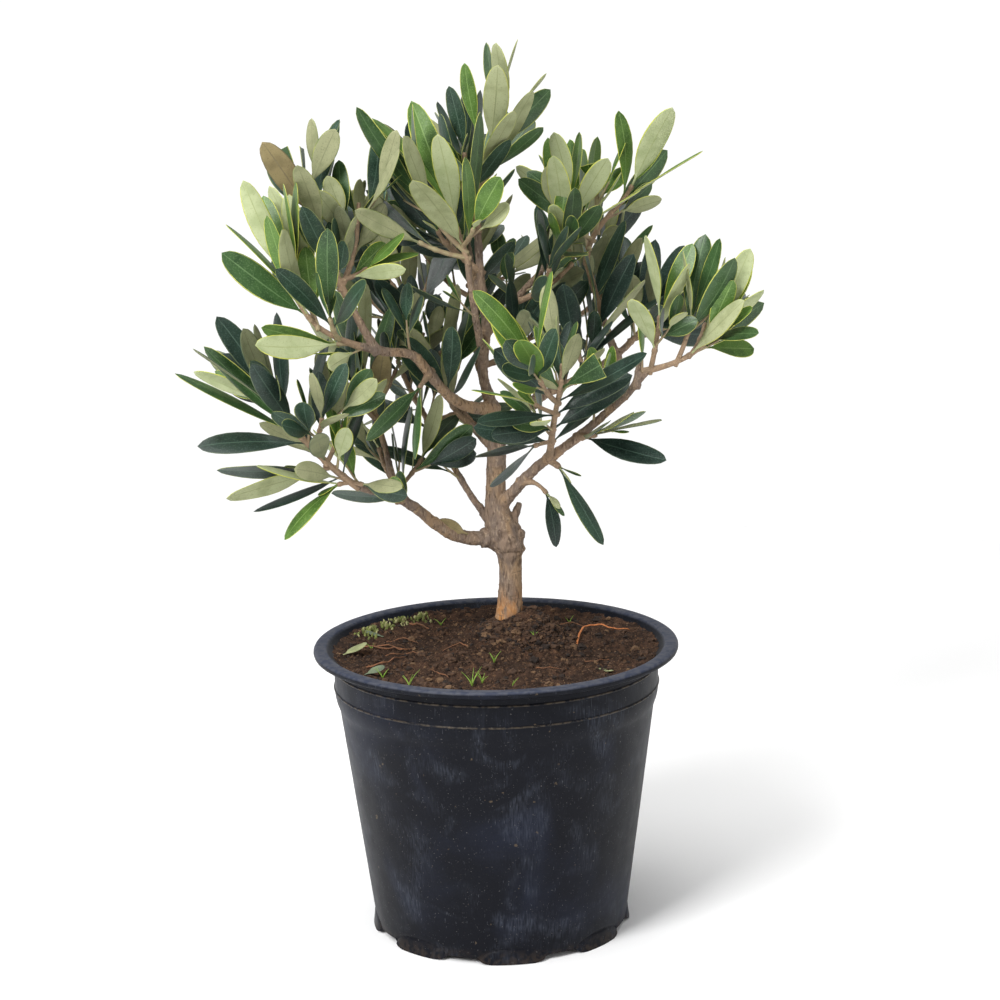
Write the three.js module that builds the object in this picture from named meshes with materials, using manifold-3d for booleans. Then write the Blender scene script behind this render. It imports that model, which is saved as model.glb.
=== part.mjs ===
// Young olive tree in a round moulded nursery pot.
// Millimetres and degrees, +Z up. The origin is the middle of the pot's flat underside, the
// plant's front looks along -Y. Headings turn in plan from +X (0) over +Y (90); a rise is
// measured up from level, and a rise over 90 leans back over the heading.

import * as THREE from "three";
import { mergeVertices } from "three/addons/utils/BufferGeometryUtils.js";
import Module from "manifold-3d";

const wasm = await Module();
wasm.setup();

// ---------------------------------------------------------------- driving dimensions

const GAP = 0.3; // clear space between pieces that touch on the real plant

const POT = {
  height: 151.5,
  segments: 32,
  turn: -1, // first corner of the rings, from the front round to the right
  padRadius: 50, // flat disc the pot stands on
  grooveHeight: 3, // raised ring between the disc and the wall
  grooveRadius: 52,
  footRadius: 66.4, // outer radius where the wall starts
  shoulderRadius: 82, // end of the plain taper
  shoulderHeight: 119,
  collarRadius: 84.4, // upright band under the lip
  collarHeight: 128,
  ridgeHeight: 141.5,
  ridge: 0.6,
  lipRadius: 95,
  lipInner: 87.8,
  lipThickness: 3.6,
  lipRound: 0.9,
  wall: 1.6,
  floor: 5, // height of the floor inside
};

// Feet are crescents under the wall: in each stretch of segments some reach the ground.
const FEET = { inner: 60, outer: 68.4, top: 7, pattern: [1, 1, 0, 0] };
const DRAINS = { count: 8, turn: 27.5, radius: 3.6, circle: 56 };

const SOIL = {
  edge: 147.6, // height along the pot's wall
  foot: 158, // height at the stem's foot
  crest: 165, // the highest that the mounds reach
  mounds: [
    { x: 6, y: 20, height: 11, spread: 17 },
    { x: 20, y: 13, height: 9.5, spread: 8.5 },
    { x: -12, y: -22, height: 2.5, spread: 20 },
    { x: 0, y: 84, height: -4.5, spread: 34 },
    { x: 56, y: -14, height: -2, spread: 20 },
    { x: -40, y: 8, height: -2.5, spread: 20 },
  ],
  rings: [10, 22, 32, 44, 62],
};

const TRUNK = {
  x: 7,
  y: 20,
  flare: 1.3, // added to the radius at the foot
  flareHeight: 7,
  union: 49, // swelling where the lowest boughs leave
  swell: 2.2,
  swellHeight: 10,
  fork: 108, // where the leader leaves the last big boughs, and loses this share of its radius
  forkLength: 14,
  forkLoss: 0.42,
};

// Each limb leaves its parent at a distance along it, and walks on with headings and rises
// that change evenly along its length. Radii run from root to tip.
const LIMBS = [
  {
    name: "trunk", length: 208, heading: [0], radius: [6.4, 3.4], sides: 10,
    rise: [84, 87, 92, 112, 92, 87, 88, 104, 103, 78, 92, 98, 92, 90],
  },
  {
    name: "bough_low_left", on: "trunk", at: 46, length: 94, radius: [4.2, 1.9], sides: 7,
    heading: [190, 203, 211, 212, 208], rise: [-10, 4, 32, 42, 35, 16, 24],
  },
  {
    name: "bough_inner_left", on: "bough_low_left", at: 68, length: 30, radius: [1.9, 1.6], sides: 5,
    heading: [124, 120], rise: [60, 65],
  },
  {
    name: "bough_thin_left", on: "trunk", at: 46, length: 68, radius: [2, 1.6], sides: 5,
    heading: [170, 152, 140], rise: [42, 57, 56],
  },
  {
    name: "bough_mid_left", on: "trunk", at: 114, length: 98, radius: [3.2, 2], sides: 7,
    heading: [225, 220, 223, 226, 212, 208], rise: [4, 14, 30, 46, 48, 44, 2, 18, 14],
  },
  {
    name: "bough_upper_left", on: "bough_mid_left", at: 88, length: 32, radius: [2, 1.8], sides: 5,
    heading: [176], rise: [60, 66],
  },
  {
    name: "bough_front_upper", on: "trunk", at: 140, length: 59, radius: [2, 1.7], sides: 6,
    heading: [262, 250, 246], rise: [50, 70, 76],
  },
  {
    name: "bough_right_low", on: "trunk", at: 61, length: 116.5, radius: [3.2, 1.8], sides: 7,
    heading: [-42, -40, -26, -20, -17, -22], rise: [38, 46, 34, 40, 42, 54],
  },
  {
    name: "bough_right_mid", on: "trunk", at: 104, length: 92, radius: [2.8, 1.8], sides: 6,
    heading: [48, 38, 22, 20], rise: [0, 30, 16, 24, 38],
  },
  {
    name: "bough_upper_right", on: "bough_right_mid", at: 84, length: 52, radius: [1.9, 1.7], sides: 5,
    heading: [160, 180], rise: [70, 76],
  },
  {
    name: "bough_upper_mid", on: "trunk", at: 154, length: 54, radius: [2.1, 1.7], sides: 5,
    heading: [44, 37], rise: [34, 39],
  },
  {
    name: "bough_back_left", on: "trunk", at: 92, length: 76, radius: [2.6, 1.8], sides: 6,
    heading: [150, 132, 122], rise: [35, 45, 50],
  },
  {
    name: "bough_back", on: "trunk", at: 122, length: 68, radius: [2.4, 1.8], sides: 6,
    heading: [104, 92], rise: [30, 42],
  },
  {
    name: "bough_back_right", on: "bough_right_mid", at: 30, length: 60, radius: [2.1, 1.7], sides: 5,
    heading: [78, 62], rise: [24, 40],
  },
  {
    name: "bough_back_top", on: "trunk", at: 166, length: 44, radius: [2.1, 1.7], sides: 5,
    heading: [118, 100], rise: [48, 58],
  },
];

// Cut stubs left by pruning, as short pegs that belong to a limb.
const STUBS = [
  { on: "trunk", at: 43, length: 21, heading: 0, rise: 70, radius: [2.4, 1.5] },
  { on: "trunk", at: 42, length: 9.5, heading: -14, rise: 30, radius: [3, 1.8] },
  { on: "bough_right_low", at: 108, length: 14, heading: 60, rise: 72, radius: [1.5, 1.3] },
];

// Each mass of foliage is a stem with side shoots, grown on from a limb's tip, or from its
// side where "from" gives a distance along it. A shoot's "turn" rolls its end pair of leaves
// about it: 0 spreads the pair across the plant's front, 90 from front to back. "step" is
// the turn from each pair to the next where it isn't square, "leaf" is the usual leaf
// length, "bare" the leafless foot, "open" how far the end pair opens, "lift" how far leaves
// turn up, and "cut" shoots were pruned.
const MASSES = [
  {
    name: "foliage_low_left", on: "bough_low_left", seed: 4,
    stem: { length: 64, heading: [206, 197], rise: [38, 50, 60], turn: 100, leaf: 50, bare: 2 },
    shoots: [
      { at: 3, length: 8, heading: [210], rise: [4, -6], turn: 0, leaf: 46, bare: 4, open: 20, lift: -0.15 },
      { at: 16, length: 9, heading: [200], rise: [-4], turn: 20, leaf: 50, bare: 5, open: 10, lift: 0 },
      { at: 30, length: 14, heading: [188], rise: [42, 46], turn: 0, leaf: 62, bare: 8, open: 9, lift: 0 },
      { at: 46, length: 24, heading: [134], rise: [30, 34], turn: 50, leaf: 44, bare: 8 },
      { at: 30, length: 28, heading: [288], rise: [34, 56], turn: 40, leaf: 34, bare: 10 },
      { at: 20, length: 22, heading: [60], rise: [40, 60], turn: 40, leaf: 38, bare: 10 },
      { at: 3, length: 7, heading: [-24], rise: [-4], turn: 80, leaf: 27, bare: 4, lift: 0 },
    ],
  },
  {
    name: "foliage_mid_left", on: "bough_mid_left", seed: 13,
    stem: { length: 40, heading: [203, 209], rise: [20, 34, 70], turn: 20, leaf: 56, bare: 22 },
    shoots: [
      { at: 24, length: 28, heading: [120], rise: [50, 72], turn: 30, leaf: 52, bare: 10 },
      { at: 10, length: 26, heading: [262], rise: [14, 50], turn: 60, leaf: 44, bare: 10 },
      { at: 30, length: 22, heading: [190], rise: [54, 74], turn: 60, leaf: 52, bare: 12 },
      { at: 3, length: 8, heading: [196], rise: [2, 6], turn: 50, leaf: 46, bare: 4, open: 12, lift: 0 },
    ],
  },
  {
    name: "foliage_mid_inner", on: "bough_mid_left", from: 50, seed: 31,
    stem: { length: 12, heading: [250, 230], rise: [-20, -40], turn: 20, leaf: 40, bare: 3, lift: -0.2 },
    shoots: [],
  },
  {
    name: "foliage_mid_right", on: "bough_right_mid", from: 58, seed: 61,
    stem: { length: 34, heading: [-60, -30], rise: [40, 60, 74], turn: 30, leaf: 46, bare: 8 },
    shoots: [
      { at: 10, length: 22, heading: [-100], rise: [20, 50], turn: 60, leaf: 44, bare: 8 },
    ],
  },
  {
    name: "foliage_upper_left", on: "bough_upper_left", seed: 22,
    stem: {
      length: 58, heading: [184, 166], rise: [66, 74], turn: -20, step: 20, leaf: 52, bare: 4,
      open: -6, lift: 0, cut: true,
    },
    shoots: [
      { at: 6, length: 16, heading: [20], rise: [10, 30], turn: 30, leaf: 28, bare: 6 },
      { at: 3, length: 44, heading: [50, 70], rise: [50, 84], turn: 10, leaf: 34, bare: 12, cut: true },
    ],
  },
  {
    name: "foliage_front_upper", on: "bough_front_upper", seed: 55,
    stem: { length: 27, heading: [215, 190], rise: [70, 76], turn: 10, leaf: 60, bare: 3 },
    shoots: [
      { at: 6, length: 34, heading: [199], rise: [40, 64], turn: 20, leaf: 54, bare: 18 },
      { at: 2, length: 26, heading: [191], rise: [10, 30], turn: 30, leaf: 42, bare: 8 },
      { at: 8, length: 20, heading: [290], rise: [20, 44], turn: 70, leaf: 38, bare: 8 },
    ],
  },
  {
    name: "foliage_top", on: "trunk", seed: 34,
    stem: { length: 62, heading: [0], rise: [96, 96, 64, 56, 96], turn: 0, step: 30, leaf: 42, bare: 6 },
    shoots: [
      { at: 20, length: 22, heading: [10], rise: [30, 70], turn: 45, leaf: 38, bare: 12 },
      { at: 34, length: 16, heading: [160], rise: [76, 88], turn: 60, leaf: 34, bare: 8 },
    ],
  },
  {
    name: "foliage_front", on: "bough_right_low", from: 46, seed: 377,
    stem: {
      length: 71, heading: [-87, -84, -80], rise: [42, 44], turn: -15, step: 8, leaf: 48, bare: 6,
      lift: -0.05, cut: true,
    },
    shoots: [
      { at: 52, length: 32, heading: [243], rise: [22, 60], turn: 0, leaf: 52, bare: 14 },
      { at: 63, length: 13, heading: [60], rise: [76], turn: 20, leaf: 26, bare: 3 },
      { at: 42, length: 14, heading: [212], rise: [20, 32], turn: 20, leaf: 42, bare: 6 },
      { at: 16, length: 12, heading: [220], rise: [0, -8], turn: 20, leaf: 42, bare: 6, lift: -0.1 },
    ],
  },
  {
    name: "foliage_right", on: "bough_right_low", seed: 236,
    stem: { length: 42, heading: [-12, -12, -4], rise: [10, 28, 64], turn: 80, leaf: 46, bare: 20 },
    shoots: [
      { at: 2, length: 30, heading: [-62], rise: [66, 78], turn: 45, leaf: 42, bare: 8 },
      { at: 16, length: 26, heading: [-42], rise: [60, 76], turn: 45, leaf: 42, bare: 8 },
      { at: 24, length: 22, heading: [60], rise: [20, 56], turn: 45, leaf: 40, bare: 8 },
      { at: 4, length: 22, heading: [120], rise: [30, 60], turn: 45, leaf: 40, bare: 8 },
    ],
  },
  {
    name: "foliage_upper_right", on: "bough_upper_right", seed: 145,
    stem: { length: 48, heading: [0, -8], rise: [88, 56, 44, 62], turn: 80, leaf: 48, bare: 22 },
    shoots: [
      { at: 18, length: 30, heading: [260], rise: [86], turn: 45, leaf: 24, bare: 10, cut: true },
      { at: 8, length: 26, heading: [100], rise: [40, 66], turn: 45, leaf: 40, bare: 8 },
      { at: 12, length: 24, heading: [230], rise: [20, 50], turn: 45, leaf: 38, bare: 8 },
    ],
  },
  {
    name: "foliage_upper_mid", on: "bough_upper_mid", seed: 90,
    stem: { length: 35, heading: [-16, 0], rise: [54, 62, 100], turn: 50, leaf: 43, bare: 10 },
    shoots: [
      { at: 14, length: 22, heading: [44], rise: [38, 60], turn: 45, leaf: 40, bare: 8 },
      { at: 4, length: 26, heading: [290], rise: [10, 30], turn: 60, leaf: 36, bare: 8 },
    ],
  },
  {
    name: "foliage_inner_left", on: "bough_inner_left", seed: 5,
    stem: { length: 44, heading: [134, 141], rise: [66, 75], turn: 40, leaf: 44, bare: 3 },
    shoots: [
      { at: 12, length: 28, heading: [222], rise: [40, 60], turn: 30, leaf: 42, bare: 8 },
      { at: 18, length: 26, heading: [50], rise: [34, 56], turn: 60, leaf: 42, bare: 8 },
    ],
  },
  {
    name: "foliage_thin_left", on: "bough_thin_left", seed: 8,
    stem: { length: 42, heading: [142, 138], rise: [46, 64], turn: 60, leaf: 44, bare: 3, lift: -0.1 },
    shoots: [
      { at: 4, length: 22, heading: [20], rise: [10, 20], turn: 0, step: 40, leaf: 40, bare: 6, lift: -0.5 },
      { at: 20, length: 26, heading: [50], rise: [50, 64], turn: 45, leaf: 40, bare: 8 },
    ],
  },
  {
    name: "foliage_lower_right", on: "bough_right_low", from: 66, seed: 610,
    stem: { length: 13, heading: [-58, -34], rise: [6, 14], turn: 0, step: 50, leaf: 46, bare: 3, lift: -0.1 },
    shoots: [],
  },
  {
    name: "foliage_hanging", on: "bough_right_low", from: 24, seed: 17,
    stem: { length: 18, heading: [-43, -38], rise: [20, -50], turn: 0, leaf: 30, bare: 12, lift: -2.4 },
    shoots: [],
  },
  {
    name: "foliage_hanging_front", on: "bough_right_low", from: 45, seed: 18,
    stem: { length: 8, heading: [-32], rise: [-30], turn: 0, leaf: 48, bare: 6, lift: -1.3 },
    shoots: [],
  },
  {
    name: "foliage_right_back", on: "bough_right_mid", seed: 987,
    stem: { length: 22, heading: [30, -50], rise: [40, 66], turn: 45, leaf: 42, bare: 3 },
    shoots: [
      { at: 4, length: 28, heading: [10], rise: [14, 34], turn: 45, leaf: 44, bare: 8 },
      { at: 12, length: 24, heading: [90], rise: [10, 40], turn: 45, leaf: 44, bare: 8 },
    ],
  },
  {
    name: "foliage_inner_top", on: "trunk", from: 186, seed: 29,
    stem: { length: 40, heading: [196, 180], rise: [36, 60], turn: 45, leaf: 42, bare: 6 },
    shoots: [
      { at: 14, length: 26, heading: [240], rise: [20, 50], turn: 45, leaf: 40, bare: 8 },
      { at: 18, length: 26, heading: [130], rise: [30, 60], turn: 45, leaf: 42, bare: 8 },
    ],
  },
  {
    name: "foliage_inner_right", on: "bough_upper_mid", from: 24, seed: 47,
    stem: { length: 40, heading: [-30, -10], rise: [16, 50], turn: 45, leaf: 42, bare: 6 },
    shoots: [
      { at: 14, length: 26, heading: [-70], rise: [20, 54], turn: 45, leaf: 40, bare: 8 },
    ],
  },
  {
    name: "foliage_low_inner", on: "bough_low_left", from: 56, seed: 71,
    stem: { length: 38, heading: [150, 170], rise: [30, 60, 78], turn: 0, step: 60, leaf: 44, bare: 8 },
    shoots: [
      { at: 14, length: 22, heading: [40], rise: [30, 50], turn: 45, leaf: 40, bare: 8 },
    ],
  },
  {
    name: "foliage_heart_left", on: "bough_back_left", from: 20, seed: 97,
    stem: { length: 44, heading: [196, 170], rise: [30, 80, 84], turn: 30, leaf: 44, bare: 6 },
    shoots: [
      { at: 12, length: 24, heading: [260], rise: [20, 50], turn: 45, leaf: 42, bare: 8 },
      { at: 24, length: 24, heading: [60], rise: [30, 60], turn: 45, leaf: 42, bare: 8 },
    ],
  },
  {
    name: "foliage_heart_right", on: "bough_back", from: 22, seed: 113,
    stem: { length: 38, heading: [0, 20], rise: [10, 30, 60], turn: 30, leaf: 44, bare: 8 },
    shoots: [
      { at: 12, length: 24, heading: [-50], rise: [30, 60], turn: 45, leaf: 40, bare: 8 },
    ],
  },
  {
    name: "foliage_back_left", on: "bough_back_left", seed: 1597,
    stem: { length: 50, heading: [122, 140], rise: [50, 68], turn: 45, leaf: 46, bare: 3 },
    shoots: [
      { at: 4, length: 34, heading: [190], rise: [24, 50], turn: 45, leaf: 44, bare: 8 },
      { at: 12, length: 32, heading: [70], rise: [30, 56], turn: 45, leaf: 44, bare: 8 },
      { at: 24, length: 30, heading: [170], rise: [44, 66], turn: 45, leaf: 44, bare: 8 },
    ],
  },
  {
    name: "foliage_back", on: "bough_back", seed: 2584,
    stem: { length: 50, heading: [92, 104], rise: [42, 66], turn: 45, leaf: 44, bare: 3 },
    shoots: [
      { at: 4, length: 34, heading: [150], rise: [20, 50], turn: 45, leaf: 44, bare: 8 },
      { at: 12, length: 30, heading: [46], rise: [-4, 12], turn: 45, leaf: 42, bare: 8 },
    ],
  },
  {
    name: "foliage_back_right", on: "bough_back_right", seed: 4181,
    stem: { length: 50, heading: [62, 50], rise: [40, 66], turn: 45, leaf: 46, bare: 3 },
    shoots: [
      { at: 4, length: 34, heading: [10], rise: [24, 50], turn: 45, leaf: 44, bare: 8 },
      { at: 12, length: 32, heading: [110], rise: [30, 56], turn: 45, leaf: 44, bare: 8 },
    ],
  },
  {
    name: "foliage_back_top", on: "bough_back_top", seed: 6765,
    stem: { length: 46, heading: [100, 80], rise: [58, 76], turn: 45, leaf: 42, bare: 3 },
    shoots: [
      { at: 6, length: 32, heading: [160], rise: [34, 58], turn: 45, leaf: 40, bare: 8 },
      { at: 14, length: 28, heading: [84], rise: [14, 40], turn: 45, leaf: 40, bare: 8 },
    ],
  },
];

const TWIG = { tip: 1, thicken: 0.014, stride: 5, stub: 7 };

const LEAF = {
  width: [6, 0.135], // a fixed share, and a share of its length
  stalk: 0.07, // share of the length before the blade
  stalkRadius: 0.5,
  thickness: 0.8,
  rings: [0.32, 0.83], // where a solid leaf is widest, as shares of its length
  fullness: 1.25, // makes up for what the straight edges between rings cut off
  tipAngle: 15, // opening from the shoot at its tip, and more for each pair below
  angleStep: 11,
  widestAngle: 62,
  tipSpacing: 8,
  spacingStep: 1.5,
  widestSpacing: 13,
  sizes: [0.96, 1.04, 1.06, 1, 0.9], // from the end pair down
  twist: 40,
  curl: [-0.16, 0.04],
  lift: 0.12, // how far a leaf turns up to the light
  lost: 0.06, // share of leaves that have dropped
  cutShare: 0.5, // what pruning left of a leaf at a cut tip
  nudges: [0, 24, -24, 48, -48], // turns about the twig that a leaf tries for its room
};

const CROWD = { cell: 10, limb: 2, twig: 2, ownLeaf: 2.4, otherLeaf: 3.8, clearFoot: 9 };

// ---------------------------------------------------------------- vectors and numbers

const UP = [0, 0, 1];
const ACROSS = [0, 1, 0];

const radians = (degrees) => (degrees * Math.PI) / 180;
const add = (a, b) => [a[0] + b[0], a[1] + b[1], a[2] + b[2]];
const subtract = (a, b) => [a[0] - b[0], a[1] - b[1], a[2] - b[2]];
const scale = (a, s) => [a[0] * s, a[1] * s, a[2] * s];
const dot = (a, b) => a[0] * b[0] + a[1] * b[1] + a[2] * b[2];
const cross = (a, b) => [
  a[1] * b[2] - a[2] * b[1],
  a[2] * b[0] - a[0] * b[2],
  a[0] * b[1] - a[1] * b[0],
];
const unit = (a) => scale(a, 1 / Math.sqrt(dot(a, a)));
const mix = (a, b, t) => a + (b - a) * t;
const distanceSquared = (a, b) => dot(subtract(a, b), subtract(a, b));

// Part of a vector that is square to a direction, at unit length.
const squareTo = (a, way) => unit(subtract(a, scale(way, dot(a, way))));

function direction(heading, rise) {
  const level = Math.cos(radians(rise));
  return [level * Math.cos(radians(heading)), level * Math.sin(radians(heading)), Math.sin(radians(rise))];
}

function turnAbout(a, axis, degrees) {
  const c = Math.cos(radians(degrees));
  const s = Math.sin(radians(degrees));
  return add(add(scale(a, c), scale(cross(axis, a), s)), scale(axis, dot(axis, a) * (1 - c)));
}

// Value at the share t of a list whose entries are evenly spaced.
function along(list, t) {
  const place = Math.min(Math.max(t, 0), 1) * (list.length - 1);
  const index = Math.min(Math.floor(place), Math.max(list.length - 2, 0));
  const next = Math.min(index + 1, list.length - 1);
  return mix(list[index], list[next], place - index);
}

// Seeded random numbers from 0 to 1.
function randomFrom(seed) {
  let state = seed >>> 0;
  return () => {
    state = (state + 0x6d2b79f5) >>> 0;
    let value = Math.imul(state ^ (state >>> 15), state | 1);
    value = (value + Math.imul(value ^ (value >>> 7), value | 61)) ^ value;
    return ((value ^ (value >>> 14)) >>> 0) / 4294967296;
  };
}

// ---------------------------------------------------------------- growth rule

// Points of a walk whose direction turns through the headings and rises.
function walk(start, length, headings, rises) {
  const steps = Math.max(2, Math.floor(length / TWIG.stride + 0.5));
  const points = [start];
  for (let i = 0; i < steps; i += 1) {
    const t = (i + 0.5) / steps;
    const way = direction(along(headings, t), along(rises, t));
    points.push(add(points[i], scale(way, length / steps)));
  }
  return points;
}

// Point and direction at a distance along a limb or twig.
function placeOn(branch, distance) {
  const steps = branch.points.length - 1;
  const place = Math.min(Math.max(distance / branch.length, 0), 1) * steps;
  const index = Math.min(Math.floor(place), steps - 1);
  const step = subtract(branch.points[index + 1], branch.points[index]);
  return { point: add(branch.points[index], scale(step, place - index)), way: unit(step) };
}

function limbRadius(limb, distance) {
  const share = Math.pow(distance / limb.length, 0.9);
  let radius = mix(limb.radius[0], limb.radius[1], share);
  if (limb.name === "trunk") {
    const swell = (distance - TRUNK.union) / TRUNK.swellHeight;
    radius += TRUNK.flare * Math.exp(-distance / TRUNK.flareHeight);
    radius += TRUNK.swell * Math.exp(-swell * swell);
    radius *= 1 - TRUNK.forkLoss * Math.min(Math.max((distance - TRUNK.fork) / TRUNK.forkLength, 0), 1);
  }
  return radius;
}

function twigRadius(twig, distance) {
  return TWIG.tip + TWIG.thicken * (twig.length - distance);
}

function growLimbs() {
  const limbs = new Map();
  for (const size of LIMBS) {
    const parent = limbs.get(size.on);
    const start = parent ? placeOn(parent, size.at).point : [TRUNK.x, TRUNK.y, SOIL.foot + GAP];
    const points = walk(start, size.length, size.heading, size.rise);
    const limb = { ...size, points, stubs: [], seat: parent ? undefined : UP };
    limbs.set(size.name, limb);
  }
  for (const size of STUBS) {
    const parent = limbs.get(size.on);
    const start = placeOn(parent, size.at).point;
    const points = walk(start, size.length, [size.heading], [size.rise]);
    parent.stubs.push({ ...size, points });
  }
  return limbs;
}

// The crowd knows where wood and leaves already are, in cells of space.
class Crowd {
  constructor() {
    this.cells = new Map();
  }

  key(point, dx, dy, dz) {
    const [x, y, z] = point.map((value) => Math.floor(value / CROWD.cell));
    return `${x + dx},${y + dy},${z + dz}`;
  }

  add(point, entry) {
    const key = this.key(point, 0, 0, 0);
    if (!this.cells.has(key)) this.cells.set(key, []);
    this.cells.get(key).push({ ...entry, point });
  }

  // True where some entry lies nearer to the point than the room it needs.
  touches(point, roomFor) {
    for (let dx = -1; dx <= 1; dx += 1) {
      for (let dy = -1; dy <= 1; dy += 1) {
        for (let dz = -1; dz <= 1; dz += 1) {
          for (const entry of this.cells.get(this.key(point, dx, dy, dz)) ?? []) {
            const room = roomFor(entry);
            if (room > 0 && distanceSquared(point, entry.point) < room * room) return true;
          }
        }
      }
    }
    return false;
  }
}

function crowdBranch(crowd, branch, radiusAt, entry) {
  const steps = Math.ceil(branch.length / 2);
  for (let i = 0; i <= steps; i += 1) {
    const distance = (branch.length * i) / steps;
    crowd.add(placeOn(branch, distance).point, { ...entry, radius: radiusAt(branch, distance) });
  }
}

function crowdLimbs(crowd, limbs) {
  for (const limb of limbs.values()) {
    crowdBranch(crowd, limb, limbRadius, { kind: "limb" });
    for (const stub of limb.stubs) crowdBranch(crowd, stub, limbRadius, { kind: "limb" });
  }
}

// A twig fits where it stays clear of the other masses and, past its foot, of everything.
function twigFits(crowd, twig, mass) {
  for (let distance = 0; distance <= twig.length; distance += 2) {
    const roomFor = (entry) => {
      if (distance < CROWD.clearFoot && (entry.kind === "limb" || entry.mass === mass)) return 0;
      return entry.radius + (entry.kind === "limb" ? CROWD.limb : CROWD.twig);
    };
    if (crowd.touches(placeOn(twig, distance).point, roomFor)) return false;
  }
  return true;
}

function growTwigs(mass, limbs, crowd) {
  const limb = limbs.get(mass.on);
  const root = placeOn(limb, mass.from ?? limb.length);
  const start = mass.from ? root.point : add(root.point, scale(root.way, GAP));
  const points = walk(start, mass.stem.length, mass.stem.heading, mass.stem.rise);
  const stem = { ...mass.stem, points, seat: mass.from ? undefined : root.way };
  const twigs = [stem];
  for (const size of mass.shoots) {
    const foot = placeOn(stem, size.at).point;
    twigs.push({ ...size, points: walk(foot, size.length, size.heading, size.rise) });
  }
  const kept = twigs.filter((twig, index) => index === 0 || twigFits(crowd, twig, mass));
  for (const twig of kept) crowdBranch(crowd, twig, twigRadius, { kind: "twig", mass, twig });
  return kept;
}

// One leaf of a pair, turned about its twig by the nudge it needs for room.
function makeLeaf(twig, spot, nudge) {
  const { point, way, pair, side, draws } = spot;
  const flat = cross(way, ACROSS);
  const level = dot(flat, flat) > 0.04 ? unit(flat) : squareTo([1, 0, 0], way);
  const open = Math.min((twig.open ?? LEAF.tipAngle) + LEAF.angleStep * pair, LEAF.widestAngle);
  const size = twig.leaf * LEAF.sizes[Math.min(pair, LEAF.sizes.length - 1)];
  const roll = twig.turn + (twig.step ?? 90) * pair + side + 24 * (draws[0] - 0.5) + nudge;
  const outward = turnAbout(level, way, roll);
  const angle = radians(open + 14 * (draws[1] - 0.5));
  const lean = add(scale(way, Math.cos(angle)), scale(outward, Math.sin(angle)));
  const reach = unit(add(lean, scale(UP, twig.lift ?? LEAF.lift)));
  return {
    root: point,
    way: reach,
    face: turnAbout(squareTo(way, reach), reach, 2 * LEAF.twist * (draws[5] - 0.5)),
    length: size * (0.86 + 0.28 * draws[2]),
    width: (LEAF.width[0] + LEAF.width[1] * size) * (0.88 + 0.26 * draws[3]),
    curl: mix(LEAF.curl[0], LEAF.curl[1], draws[4]),
    end: twig.cut && pair === 2 ? LEAF.cutShare : 1,
    pair,
    twig,
  };
}

// Leaves sit in opposite pairs, each pair square to the next, from the tip down.
function leafSpots(twig, draw) {
  const spots = [];
  let distance = twig.length - (twig.cut ? TWIG.stub : 1);
  for (let pair = twig.cut ? 2 : 0; distance > twig.bare; pair += 1) {
    const place = placeOn(twig, distance);
    for (const side of [0, 180]) {
      const draws = Array.from({ length: 7 }, draw);
      if (draws[6] >= LEAF.lost) spots.push({ ...place, pair, side, draws });
    }
    distance -= Math.min(LEAF.tipSpacing + LEAF.spacingStep * pair, LEAF.widestSpacing);
  }
  return spots;
}

// Half width of a blade at the share t of its length: a short stalk, a wedge-shaped foot,
// widest past the middle and a rounded tip.
function halfWidthAt(leaf, t) {
  const share = Math.max(0, (t - LEAF.stalk) / (1 - LEAF.stalk));
  const belly = Math.pow(1 - Math.pow(Math.abs(2 * Math.pow(share, 1.25) - 1), 1.8), 0.85);
  return Math.max(leaf.width * 0.5 * belly, t < 0.5 ? LEAF.stalkRadius : 0);
}

// Point on a blade at the share t of its length and the share u of its half width.
function onLeaf(leaf, t, u) {
  const side = cross(leaf.way, leaf.face);
  const middle = add(leaf.root, scale(leaf.way, leaf.length * t));
  const curled = add(middle, scale(leaf.face, leaf.curl * leaf.length * t * t));
  return add(curled, scale(side, halfWidthAt(leaf, t) * u));
}

// Points spread over a blade between two shares of its length.
function bladePoints(leaf, from, to) {
  const points = [];
  for (let i = 0; i <= 14; i += 1) {
    const t = (leaf.end * i) / 14;
    if (t < from || t > to) continue;
    for (const u of [-1, -0.5, 0, 0.5, 1]) points.push(onLeaf(leaf, t, u));
  }
  return points;
}

// A leaf fits where it stays clear of the other masses and, past its foot, of everything.
function leafFits(crowd, leaf, mass) {
  const roomAmongOthers = (entry) => {
    if (entry.kind === "limb" || entry.mass === mass) return 0;
    return entry.kind === "twig" ? entry.radius + CROWD.twig : CROWD.otherLeaf;
  };
  const room = (entry) => {
    if (entry.kind === "limb") return entry.radius + CROWD.limb;
    if (entry.mass !== mass) return roomAmongOthers(entry);
    if (entry.kind === "twig") return entry.twig === leaf.twig ? 0 : entry.radius + CROWD.twig;
    return CROWD.ownLeaf;
  };
  if (bladePoints(leaf, 0, 0.2).some((point) => crowd.touches(point, roomAmongOthers))) return false;
  return !bladePoints(leaf, 0.2, 1).some((point) => crowd.touches(point, room));
}

function growLeaves(mass, twigs, crowd) {
  const draw = randomFrom(mass.seed);
  const kept = [];
  for (const twig of twigs) {
    for (const spot of leafSpots(twig, draw)) {
      const tries = LEAF.nudges.map((nudge) => makeLeaf(twig, spot, nudge));
      const leaf = tries.find((candidate) => leafFits(crowd, candidate, mass));
      if (!leaf) continue;
      kept.push(leaf);
      for (const point of bladePoints(leaf, 0, 1)) crowd.add(point, { kind: "leaf", mass, radius: 0 });
    }
  }
  return kept;
}

// ---------------------------------------------------------------- solids

function toManifold(positions, triangles) {
  const mesh = new wasm.Mesh({
    numProp: 3,
    vertProperties: new Float32Array(positions),
    triVerts: new Uint32Array(triangles),
  });
  return new wasm.Manifold(mesh);
}

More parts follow.
